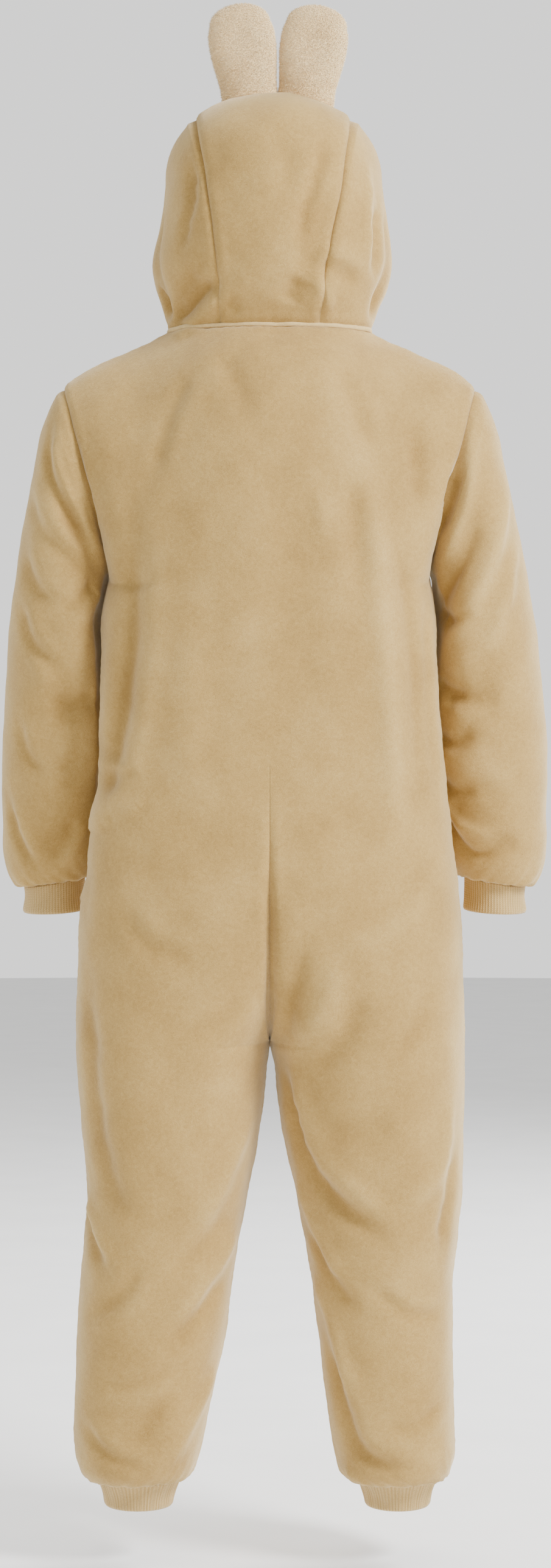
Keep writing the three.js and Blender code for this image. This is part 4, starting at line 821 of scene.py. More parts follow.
class Patch:
    """A cut piece of cloth as one surface of outer points, before it becomes a closed wall."""

    def __init__(self, name: str) -> None:
        """Starts an empty piece.

        Args:
            name: the piece's name.
        """
        self.name = name
        self.points = np.zeros((0, 3))
        self.quads = np.zeros((0, 4), dtype=int)
        self.seam = np.zeros(0)
        self.along = np.zeros(0)
        self.gather = np.zeros(0)

    def add_grid(
        self, grid: Array, flip: bool, wrap: bool = False, seams: dict[str, Array | bool] | None = None,
        shared: Array | None = None, gathered: bool = False,
    ) -> Array:
        """Adds a grid of points as quads.

        Args:
            grid: rows of points.
            flip: turns the quads round, so that they face out.
            wrap: joins the last column to the first.
            seams: which of the top, bottom, first and last edges are sewn, whole or row by row.
            shared: ids of points in column 0 that the piece already has, or -1.
            gathered: whether the bottom edge is gathered into a cuff.

        Returns:
            The grid's ids.
        """
        rows, columns = grid.shape[:2]
        ids = np.arange(rows * columns).reshape(rows, columns) + len(self.points)
        distance, along = self._seam_distances(grid, seams or {})
        if shared is not None:
            ids[:, 0] = np.where(shared >= 0, shared, ids[:, 0])
        right = np.roll(ids, -1, axis=1) if wrap else ids[:, 1:]
        left = ids if wrap else ids[:, :-1]
        quads = np.stack([left[:-1], left[1:], right[1:], right[:-1]], axis=-1).reshape(-1, 4)
        self.quads = np.concatenate([self.quads, quads[:, ::-1] if flip else quads])
        self.points = np.concatenate([self.points, grid.reshape(-1, 3)])
        self.seam = np.concatenate([self.seam, distance.ravel()])
        self.along = np.concatenate([self.along, along.ravel()])
        hem = self._seam_distances(grid, {"bottom": True} if gathered else {})[0]
        self.gather = np.concatenate([self.gather, hem.ravel()])
        return ids

    @staticmethod
    def _seam_distances(grid: Array, seams: dict[str, Array | bool]) -> tuple[Array, Array]:
        """The distance from each point to the nearest sewn edge, and the place along that edge."""
        down = np.linalg.norm(np.diff(grid, axis=0), axis=2)
        down = np.concatenate([np.zeros((1, grid.shape[1])), np.cumsum(down, axis=0)])
        over = np.linalg.norm(np.diff(grid, axis=1), axis=2)
        over = np.concatenate([np.zeros((grid.shape[0], 1)), np.cumsum(over, axis=1)], axis=1)
        places = {
            "top": (down, over), "bottom": (down[-1] - down, over),
            "first": (over, down), "last": (over[:, -1:] - over, down),
        }
        best = np.full(grid.shape[:2], 999.0)
        along = np.zeros(grid.shape[:2])
        for name, sewn in seams.items():
            distance, run = places[name]
            if isinstance(sewn, np.ndarray):
                distance = distance + np.where(sewn, 0.0, 999.0)[:, None]
            closer = distance < best
            best = np.where(closer, distance, best)
            along = np.where(closer, run, along)
        return best, along

    def keep_used(self) -> Array:
        """Drops points that no quad uses.

        Returns:
            The new id of each point, or -1.
        """
        used = np.unique(self.quads)
        place = np.full(len(self.points), -1)
        place[used] = np.arange(len(used))
        self.quads = place[self.quads]
        self.points, self.seam = self.points[used], self.seam[used]
        self.along, self.gather = self.along[used], self.gather[used]
        return place

    def normals(self) -> Array:
        """The surface's normal at each point."""
        a, b, c, d = (self.points[self.quads[:, k]] for k in range(4))
        face = unit(np.cross(c - a, d - b))
        total = np.zeros_like(self.points)
        for k in range(4):
            np.add.at(total, self.quads[:, k], face)
        return unit(total)

    def free_edges(self) -> Array:
        """Edges that only one quad uses, in that quad's direction."""
        edges = np.concatenate([self.quads[:, [k, (k + 1) % 4]] for k in range(4)])
        ordered = np.sort(edges, axis=1)
        _, inverse, counts = np.unique(ordered, axis=0, return_inverse=True, return_counts=True)
        return edges[counts[inverse.ravel()] == 1]


def shared_places(points: Array) -> Array:
    """A number for each point, the same for points that lie within a twentieth of a millimetre."""
    _, place = np.unique(np.round(points * 20).astype(int), axis=0, return_inverse=True)
    return place.ravel()


def joint_normals(patches: Sequence[Patch]) -> list[Array]:
    """Normals that pieces share where they meet, so that their walls meet on one mitre.

    Args:
        patches: the pieces of cloth.

    Returns:
        One array of normals for each piece.
    """
    own = np.concatenate([patch.normals() for patch in patches])
    place = shared_places(np.concatenate([patch.points for patch in patches]))
    total = np.zeros((place.max() + 1, 3))
    np.add.at(total, place, own)
    shared = unit(total)[place]
    agree = np.sum(shared * own, axis=1)[:, None] > MITRE_AGREES
    shared = np.where(agree, shared, own)
    return np.split(shared, np.cumsum([len(patch.points) for patch in patches])[:-1])


class Relief:
    """Lays folds, seams and unevenness into all the pieces of cloth together."""

    ROLL_DEPTH = 3.0
    ROLL_WIDTH = 3.2
    PUFF = 1.3
    PUFF_PLACE = 9.0
    PUFF_WIDTH = 5.5
    PUCKER = 0.5
    PUCKER_STEP = 13.0
    PUCKER_REACH = 11.0
    GATHER = 1.6
    GATHER_STEP = 17.0
    GATHER_REACH = 24.0

    def __init__(self, patches: Sequence[Patch]) -> None:
        """Starts from the pieces' smooth forms.

        Args:
            patches: the pieces of cloth.
        """
        self.patches = patches
        self.points = np.concatenate([patch.points for patch in patches])
        self.normals = np.concatenate(joint_normals(patches))
        self.amount = np.zeros(len(self.points))
        # crest sums the fold heights, which the fleece turns into painted shade in troughs and painted
        # highlight on ridges.
        self.crest = np.zeros(len(self.points))

    def placed(self, fold: Fold) -> tuple[Array, Array]:
        """A fold's line on the cloth, found on the side that it is seen from.

        Args:
            fold: the fold.

        Returns:
            The line's points and the cloth's normals there.
        """
        flat = np.array([(x, 0.0, z) for x, z in fold.line], dtype=float)
        run = running_length(flat)
        curve = Table("run x z", np.column_stack([run, flat[:, 0], flat[:, 2]]))
        fine = np.linspace(0, run[-1], 4 * len(fold.line) + 1)
        seen = np.flatnonzero(self.normals[:, 1] * fold.face.value > 0.12)
        places = np.stack([curve.at("x", fine), curve.at("z", fine)], axis=-1)
        found = []
        for x, z in places:
            offset = (self.points[seen, 0] - x) ** 2 + (self.points[seen, 2] - z) ** 2
            found.append(seen[np.argmin(offset)])
        line = self.points[found].copy()
        line[:, 0] = places[:, 0]
        line[:, 2] = places[:, 1]
        return line, self.normals[found]

    def fold(self, line: Array, facing: Array, width: float, height: float, lip: float, calm: Array) -> None:
        """Adds one fold's height along a line.

        Args:
            line: the fold's points.
            facing: the cloth's normals at them.
            width: the half-width of its round profile.
            height: how far it rises.
            lip: the ridge beside it.
            calm: how much of a fold each point takes.
        """
        margin = 4.0 * width
        inside = np.all((self.points > line.min(0) - margin) & (self.points < line.max(0) + margin), axis=1)
        chosen = np.flatnonzero(inside)
        points = self.points[chosen]
        best = np.full(len(points), 1e9)
        side = np.zeros(len(points))
        share = np.zeros(len(points))
        run = running_length(line)
        for k in range(len(line) - 1):
            along = line[k + 1] - line[k]
            length = np.linalg.norm(along)
            t = np.clip((points - line[k]) @ along / length**2, 0.0, 1.0)
            offset = points - (line[k] + t[:, None] * along)
            distance = np.linalg.norm(offset, axis=1)
            closer = distance < best
            best = np.where(closer, distance, best)
            side = np.where(closer, offset @ np.cross(facing[k], along / length), side)
            share = np.where(closer, (run[k] + t * length) / run[-1], share)
        taper = smooth(share / 0.24) * smooth((1 - share) / 0.24)
        across = self.normals[chosen] @ facing.mean(axis=0) > 0.1
        profile = height * np.exp(-((best / width) ** 2))
        beside = np.exp(-(((side - 1.9 * width) / (0.95 * width)) ** 2))
        profile += lip * beside * (np.abs(best) < 3.6 * width)
        self.amount[chosen] += profile * mix(0.2, 1.0, taper) * across * calm[chosen]

    def seams(self, sewn: Array) -> None:
        """Rolls the cloth into its seams, with a low puff and small puckers beside them.

        Args:
            sewn: how firmly the seam at each point draws the cloth in.
        """
        self.crest += self.amount
        distance = np.concatenate([patch.seam for patch in self.patches])
        along = np.concatenate([patch.along for patch in self.patches])
        wave = np.sin(2 * math.pi * along / self.PUCKER_STEP + 1.7 * np.sin(2 * math.pi * along / 47.0))
        self.amount -= self.ROLL_DEPTH * sewn * np.exp(-distance / self.ROLL_WIDTH)
        self.amount += self.PUFF * sewn * np.exp(-(((distance - self.PUFF_PLACE) / self.PUFF_WIDTH) ** 2))
        self.amount += self.PUCKER * wave * np.exp(-distance / self.PUCKER_REACH) * smooth(distance / 3.0)
        hem = np.concatenate([patch.gather for patch in self.patches])
        sway = 2.1 * np.sin(2 * math.pi * along / 71.0)
        wave = np.sin(2 * math.pi * along / self.GATHER_STEP + sway + hem / 31)
        self.amount += self.GATHER * (wave - 0.3) * np.exp(-hem / self.GATHER_REACH) * smooth(hem / 5.0)

    def unevenness(self) -> None:
        """Adds the slow, shallow waves of heavy cloth that hangs free."""
        x, y, z = self.points.T
        wave = 0.9 * np.sin(x / 23 + 1.6 * np.sin(z / 61 + 0.7)) * np.sin(z / 47 + 1.3 * np.sin(x / 41))
        wave += 0.6 * np.sin(x / 13 + z / 29 + 1.9 * np.sin(z / 83)) * np.sin(z / 19 - y / 17 + 0.4)
        wave += 0.28 * np.sin(x / 6.4 + 1.2 * np.sin(z / 17)) * np.sin(z / 8.3 + y / 9 + 1.1)
        self.amount += wave

    def settle(self) -> None:
        """Moves every piece's points. Points that pieces share move by one amount."""
        place = shared_places(self.points)
        total = np.zeros(place.max() + 1)
        np.add.at(total, place, self.amount)
        even = (total / np.bincount(place))[place]
        moved = self.points + self.normals * even[:, None]
        for patch, points in zip(self.patches, np.split(moved, self.breaks())):
            patch.points = points
        self.points = moved
        self.normals = np.concatenate(joint_normals(self.patches))
        self.amount = np.zeros(len(moved))

    def breaks(self) -> Array:
        """Where one piece's points end and the next one's begin."""
        return np.cumsum([len(patch.points) for patch in self.patches])[:-1]


def mesh_object(name: str, points: Array, faces: Iterable[Sequence[int]],
                material: bpy.types.Material) -> bpy.types.Object:
    """Makes an object of a mesh given in millimetres.

    Args:
        name: the piece's name.
        points: its points.
        faces: its faces, as point ids.
        material: its finish.

    Returns:
        The object, smooth, at the origin.
    """
    mesh = bpy.data.meshes.new(name)
    mesh.from_pydata((np.asarray(points) * MM).tolist(), [], [list(map(int, face)) for face in faces])
    mesh.validate()
    mesh.polygons.foreach_set("use_smooth", np.ones(len(mesh.polygons), dtype=bool))
    mesh.materials.append(material)
    mesh.update()
    made = bpy.data.objects.new(name, mesh)
    bpy.context.scene.collection.objects.link(made)
    return made


def walled(name: str, patch: Patch, normals: Array, wall: float,
           material: bpy.types.Material) -> bpy.types.Object:
    """The closed wall of a piece of cloth: its outer side, its inner side and its edges.

    Args:
        name: the piece's name.
        patch: the outer surface.
        normals: the shared normals.
        wall: the cloth's thickness.
        material: its finish.

    Returns:
        The piece.
    """
    count = len(patch.points)
    inner = patch.points - normals * wall
    edges = patch.free_edges()
    rim = np.stack([edges[:, 1], edges[:, 0], edges[:, 0] + count, edges[:, 1] + count], axis=-1)
    faces = np.concatenate([patch.quads, patch.quads[:, ::-1] + count, rim])
    return mesh_object(name, np.concatenate([patch.points, inner]), faces, material)


def tube(name: str, path: Array, outs: Array, wide: float, high: float,
         material: bpy.types.Material) -> bpy.types.Object:
    """A rounded welt that runs along a path.

    Args:
        name: the piece's name.
        path: its middle line.
        outs: the cloth's normals along it.
        wide: its half-width along the cloth.
        high: its half-height off the cloth.
        material: its finish.

    Returns:
        The piece, closed at its ends.
    """
    along = unit(np.gradient(path, axis=0))
    over = unit(np.cross(along, outs))
    up = unit(np.cross(over, along))
    corners = 10
    angle = 2 * math.pi * np.arange(corners) / corners
    ring = wide * np.cos(angle)[None, :, None] * over[:, None]
    ring = ring + high * np.sin(angle)[None, :, None] * up[:, None]
    points = (path[:, None] + ring).reshape(-1, 3)
    faces: list[list[int]] = []
    for low in range(0, (len(path) - 1) * corners, corners):
        for k in range(corners):
            d = (k + 1) % corners
            faces.append([low + k, low + d, low + corners + d, low + corners + k])
    faces.append(list(range(corners))[::-1])
    faces.append([(len(path) - 1) * corners + k for k in range(corners)])
    return mesh_object(name, points, faces, material)


def slab(layers: Sequence[Array]) -> tuple[Array, Array]:
    """A closed thin body between two grids of points.

    Args:
        layers: the outer and the inner grid, of one shape.

    Returns:
        The points and faces.
    """
    rows, columns = layers[0].shape[:2]
    count = rows * columns
    ids = np.arange(count).reshape(rows, columns)
    quads = np.stack([ids[:-1, :-1], ids[:-1, 1:], ids[1:, 1:], ids[1:, :-1]], axis=-1).reshape(-1, 4)
    rim = np.concatenate([ids[0, :-1], ids[:-1, -1], ids[-1, :0:-1], ids[:0:-1, 0]])
    after = np.roll(rim, -1)
    edge = np.stack([rim, rim + count, after + count, after], axis=-1)
    faces = np.concatenate([quads, quads[:, ::-1] + count, edge])
    return np.concatenate([layer.reshape(-1, 3) for layer in layers]), faces


def garment_piece(made: bpy.types.Object, slot: str, *nodes: str) -> bpy.types.Object:
    """Makes a piece ride on the garment, in place of any nodes.

    Args:
        made: the piece.
        slot: the record's material slot, not used.
        nodes: the solids that it stands for.

    Returns:
        The piece.
    """
    if nodes:
        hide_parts(*nodes)
    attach(made, GARMENT)
    return made


class Recipe:
    """A node tree that is built step by step."""

    def __init__(self, tree: bpy.types.NodeTree) -> None:
        """Keeps the tree to build in.

        Args:
            tree: a shader's or a modifier's node tree.
        """
        self.tree = tree

    def node(self, kind: str, settings: dict | None = None, inputs: dict | None = None) -> bpy.types.Node:
        """Adds a node.

        Args:
            kind: the node's type.
            settings: its settings, which are set first.
            inputs: values or links of its sockets, by name or number.

        Returns:
            The node.
        """
        made = self.tree.nodes.new(kind)
        for name, value in (settings or {}).items():
            setattr(made, name, value)
        for name, value in (inputs or {}).items():
            self.join(value, made.inputs[name])
        return made

    def join(self, value: object, socket: bpy.types.NodeSocket) -> None:
        """Links a value or output to a socket, or sets the socket to a number or colour."""
        if isinstance(value, Value):
            value = value.socket
        if isinstance(value, bpy.types.NodeSocket):
            self.tree.links.new(value, socket)
        else:
            socket.default_value = value

    def value(self, socket: bpy.types.NodeSocket) -> "Value":
        """Wraps an output for use in sums."""
        return Value(self, socket)

    def ramp(self, factor: "Value", stops: Sequence[tuple[float, tuple[float, ...]]]) -> bpy.types.NodeSocket:
        """A colour ramp.

        Args:
            factor: what runs along the ramp.
            stops: places with their colours.

        Returns:
            The ramp's colour.
        """
        made = self.tree.nodes.new("ShaderNodeValToRGB")
        stops = sorted(stops, key=lambda stop: stop[0])
        elements = made.color_ramp.elements
        while len(elements) < len(stops):
            elements.new(0.5)
        for element, (place, colour) in zip(elements, stops):
            element.position = place
            element.color = (*colour, 1.0)
        self.join(factor, made.inputs["Fac"])
        return made.outputs["Color"]


class Value:
    """A socket that can be used in sums, which adds the Math nodes that they need."""

    def __init__(self, recipe: Recipe, socket: bpy.types.NodeSocket) -> None:
        """Wraps a socket of a recipe.

        Args:
            recipe: the recipe that the socket is in.
            socket: the output to wrap.
        """
        self.recipe = recipe
        self.socket = socket

    def maths(self, operation: str, *values: "Value | float") -> "Value":
        """Adds a Math node.

        Args:
            operation: the node's operation.
            values: what goes into it.

        Returns:
            Its result.
        """
        node = self.recipe.node("ShaderNodeMath", {"operation": operation}, dict(enumerate(values)))
        return Value(self.recipe, node.outputs[0])

    def __add__(self, other: "Value | float") -> "Value":
        """self + other."""
        return self.maths("ADD", self, other)

    def __sub__(self, other: "Value | float") -> "Value":
        """self - other."""
        return self.maths("SUBTRACT", self, other)

    def __rsub__(self, other: float) -> "Value":
        """other - self."""
        return self.maths("SUBTRACT", other, self)

    def __mul__(self, other: "Value | float") -> "Value":
        """self * other."""
        return self.maths("MULTIPLY", self, other)

    def sine(self) -> "Value":
        """The value's sine."""
        return self.maths("SINE", self)

    def clipped(self) -> "Value":
        """The value held between 0 and 1."""
        return self.maths("MINIMUM", self.maths("MAXIMUM", self, 0.0), 1.0)


class Finish:
    """A shader recipe with its own material and one shading node."""

    def __init__(self, name: str) -> None:
        """Starts a material.

        Args:
            name: the material's name.
        """
        self.material = bpy.data.materials.new(name)
        self.material.use_nodes = True
        tree = self.material.node_tree
        tree.nodes.clear()
        self.recipe = Recipe(tree)
        self.shader = self.recipe.node("ShaderNodeBsdfPrincipled")
        output = self.recipe.node("ShaderNodeOutputMaterial")
        tree.links.new(self.shader.outputs["BSDF"], output.inputs["Surface"])
        self.place = self.recipe.node("ShaderNodeTexCoord").outputs["Object"]

    def noise(self, scale: float, detail: float = 3.0, rough: float = 0.55, bend: float = 0.0,
              place: bpy.types.NodeSocket | None = None) -> Value:
        """Noise over the object, scale in cells a metre."""
        node = self.recipe.node("ShaderNodeTexNoise", None, {
            "Vector": place or self.place, "Scale": scale, "Detail": detail, "Roughness": rough,
            "Distortion": bend,
        })
        return self.recipe.value(node.outputs["Fac"])

    def cells(self, scale: float) -> Value:
        """Distance to the middle of small uneven cells, scale in cells a metre."""
        node = self.recipe.node("ShaderNodeTexVoronoi", {"feature": "F1"}, {
            "Vector": self.place, "Scale": scale, "Randomness": 1.0,
        })
        return self.recipe.value(node.outputs["Distance"])

    def stretched(self, scale: tuple[float, float, float]) -> bpy.types.NodeSocket:
        """The object's place with each axis stretched."""
        mapping = self.recipe.node("ShaderNodeMapping", None, {"Vector": self.place, "Scale": scale})
        return mapping.outputs["Vector"]

    def bump(self, height: Value, distance: float, strength: float = 1.0,
             under: bpy.types.NodeSocket | None = None) -> bpy.types.NodeSocket:
        """A bump from a height, over one before it."""
        inputs = {"Height": height, "Distance": distance, "Strength": strength}
        if under is not None:
            inputs["Normal"] = under
        return self.recipe.node("ShaderNodeBump", None, inputs).outputs["Normal"]

    def set(self, **inputs: object) -> None:
        """Sets or links the shader's sockets, with spaces in their names written as _."""
        for name, value in inputs.items():
            self.recipe.join(value, self.shader.inputs[name.replace("_", " ")])


def linear(red: float, green: float, blue: float) -> tuple[float, float, float]:
    """A screen colour of 0 to 255 as linear light."""
    shares = [value / 255 for value in (red, green, blue)]
    return tuple(c / 12.92 if c <= 0.04045 else ((c + 0.055) / 1.055) ** 2.4 for c in shares)


class Look:
    """A finish that paints a material of its own."""

    def material(self, name: str) -> bpy.types.Material:
        """Builds the finish.

        Args:
            name: the material's name.

        Returns:
            The material.
        """
        finish = Finish(name)
        self.paint(finish)
        return finish.material

    def paint(self, finish: Finish) -> None:
        """Lays this finish's nodes into a material."""
        raise NotImplementedError


@dataclass(frozen=True)
class PlushFleece(Look):
    """Short, dense, matte pile that is brushed lighter and darker in small patches.

    Its fold shade weight sets how much paler the colour is painted on fold ridges and how much darker in the
    troughs, from the cloth's crest attribute: painted highlight and painted shade.
    """

    light: tuple[float, float, float] = (206, 175, 114)
    middle: tuple[float, float, float] = (183, 150, 88)
    dark: tuple[float, float, float] = (154, 121, 66)
    tuft: float = 1100.0
    patch: float = 210.0
    sway: float = 16.0
    pile: float = 0.0006
    sheen: float = 0.7
    worn: float = 0.0

    def paint(self, finish: Finish) -> None:
        """Lays this finish's nodes into a material."""
        fine = finish.noise(self.tuft, 4.0, 0.65, 0.4)
        tufts = finish.cells(self.tuft * 0.9)
        brushed = finish.noise(self.patch, 3.0, 0.6, 0.8)
        slow = finish.noise(self.sway, 2.0, 0.5)
        tone = fine * 0.34 + brushed * 0.2 + slow * 0.2 - tufts * 0.08 + 0.16
        # Painted shade and highlight: the crest attribute darkens the colour in fold troughs and pales it on
        # fold ridges.
        if self.worn:
            crest = finish.recipe.node("ShaderNodeAttribute", {"attribute_name": "crest"}).outputs["Fac"]
            tone = tone + finish.recipe.value(crest) * self.worn
        colour = finish.recipe.ramp(tone, [
            (0.34, linear(*self.dark)), (0.5, linear(*self.middle)), (0.66, linear(*self.light)),
        ])
        relief = finish.bump(brushed, self.pile * 1.4, 0.35)
        relief = finish.bump(fine - tufts * 0.5, self.pile, 0.6, relief)
        finish.set(
            Base_Color=colour, Roughness=(brushed * 0.1 + 0.88).clipped(), Normal=relief,
            Sheen_Weight=self.sheen, Sheen_Roughness=0.42, Specular_IOR_Level=0.1,
        )
        finish.shader.inputs["Sheen Tint"].default_value = (*linear(255, 240, 208), 1.0)


@dataclass(frozen=True)
class RibKnit(Look):
    """Knitted ribs with small slanting stitches, which run with the cuff's own map."""

    light: tuple[float, float, float] = (212, 182, 124)
    dark: tuple[float, float, float] = (182, 150, 92)
    rib_count: int = 66
    stitches: int = 16

    def paint(self, finish: Finish) -> None:
        """Lays this finish's nodes into a material."""
        recipe = finish.recipe
        uv = recipe.node("ShaderNodeUVMap", {"uv_map": "knit"}).outputs["UV"]
        split = recipe.node("ShaderNodeSeparateXYZ", None, {0: uv})
        across = recipe.value(split.outputs["X"]) * (2 * math.pi * self.rib_count)
        up = recipe.value(split.outputs["Y"]) * (2 * math.pi * self.stitches)
        rib = across.maths("COSINE", across) * 0.5 + 0.5
        slant = (up + across.sine() * 1.5).sine() * 0.5 + 0.5
        fuzz = finish.noise(1500.0, 3.0, 0.7)
        tone = rib * 0.55 + slant * 0.22 + fuzz * 0.3 - 0.06
        colour = recipe.ramp(tone, [(0.15, linear(*self.dark)), (0.75, linear(*self.light))])
        relief = finish.bump(slant * rib, 0.0007, 0.8)
        relief = finish.bump(fuzz, 0.0004, 0.6, relief)
        finish.set(
            Base_Color=colour, Roughness=(fuzz * 0.1 + 0.85).clipped(), Normal=relief,
            Sheen_Weight=0.4, Sheen_Roughness=0.45, Specular_IOR_Level=0.12,
        )


@dataclass(frozen=True)
class WovenTape(Look):
    """Herringbone polyester tape of the zip."""

    light: tuple[float, float, float] = (196, 166, 110)
    dark: tuple[float, float, float] = (160, 130, 80)
    pitch: float = 0.0011

    def paint(self, finish: Finish) -> None:
        """Lays this finish's nodes into a material."""
        recipe = finish.recipe
        split = recipe.node("ShaderNodeSeparateXYZ", None, {0: finish.place})
        x = recipe.value(split.outputs["X"])
        z = recipe.value(split.outputs["Z"])
        turn = 2 * math.pi / self.pitch
        weave = ((z + x.maths("ABSOLUTE", x)) * turn).sine() * 0.5 + 0.5
        fuzz = finish.noise(2200.0, 2.0)
        stops = [(0.2, linear(*self.dark)), (0.8, linear(*self.light))]
        finish.set(
            Base_Color=recipe.ramp(weave * 0.7 + fuzz * 0.3, stops),
            Roughness=(weave * 0.12 + 0.62).clipped(), Normal=finish.bump(weave, 0.0002, 0.8),
            Sheen_Weight=0.1, Specular_IOR_Level=0.3,
        )


@dataclass(frozen=True)
class NylonTeeth(Look):
    """Smooth moulded nylon of the zip's coil."""

    light: tuple[float, float, float] = (214, 188, 134)
    dark: tuple[float, float, float] = (192, 164, 108)

    def paint(self, finish: Finish) -> None:
        """Lays this finish's nodes into a material."""
        grain = finish.noise(900.0, 2.0)
        colour = finish.recipe.ramp(grain, [(0.3, linear(*self.dark)), (0.7, linear(*self.light))])
        finish.set(
            Base_Color=colour, Roughness=(grain * 0.15 + 0.32).clipped(),
            Normal=finish.bump(grain, 0.00005, 0.5), Specular_IOR_Level=0.45,
        )


@dataclass(frozen=True)
class SatinMetal(Look):
    """Cast zinc with a soft brushed plating, a little duller where it is handled."""

    light: tuple[float, float, float] = (206, 198, 180)
    dark: tuple[float, float, float] = (168, 158, 138)

    def paint(self, finish: Finish) -> None:
        """Lays this finish's nodes into a material."""
        brushed = finish.noise(420.0, 3.0, 0.6, 0.0, finish.stretched((9.0, 1.0, 1.0)))
        worn = finish.noise(260.0, 2.0)
        colour = finish.recipe.ramp(worn, [(0.35, linear(*self.dark)), (0.65, linear(*self.light))])
        finish.set(
            Base_Color=colour, Metallic=1.0, Roughness=(brushed * 0.16 + worn * 0.12 + 0.2).clipped(),
            Normal=finish.bump(brushed, 0.00004, 0.6),
        )


@dataclass(frozen=True)
class PaleFloor(Look):
    """Plain pale studio floor."""

    light: tuple[float, float, float] = (252, 252, 251)

    def paint(self, finish: Finish) -> None:
        """Lays this finish's nodes into a material."""
        grain = finish.noise(6.0, 2.0)
        colour = finish.recipe.ramp(grain, [(0.3, linear(248, 248, 247)), (0.7, linear(*self.light))])
        finish.set(Base_Color=colour, Roughness=(grain * 0.1 + 0.7).clipped(), Specular_IOR_Level=0.2)


@dataclass(frozen=True)
class CutSize:
    """What of a piece's cut shows: its width, length and area, in metres."""

    width: float
    length: float
    area: float


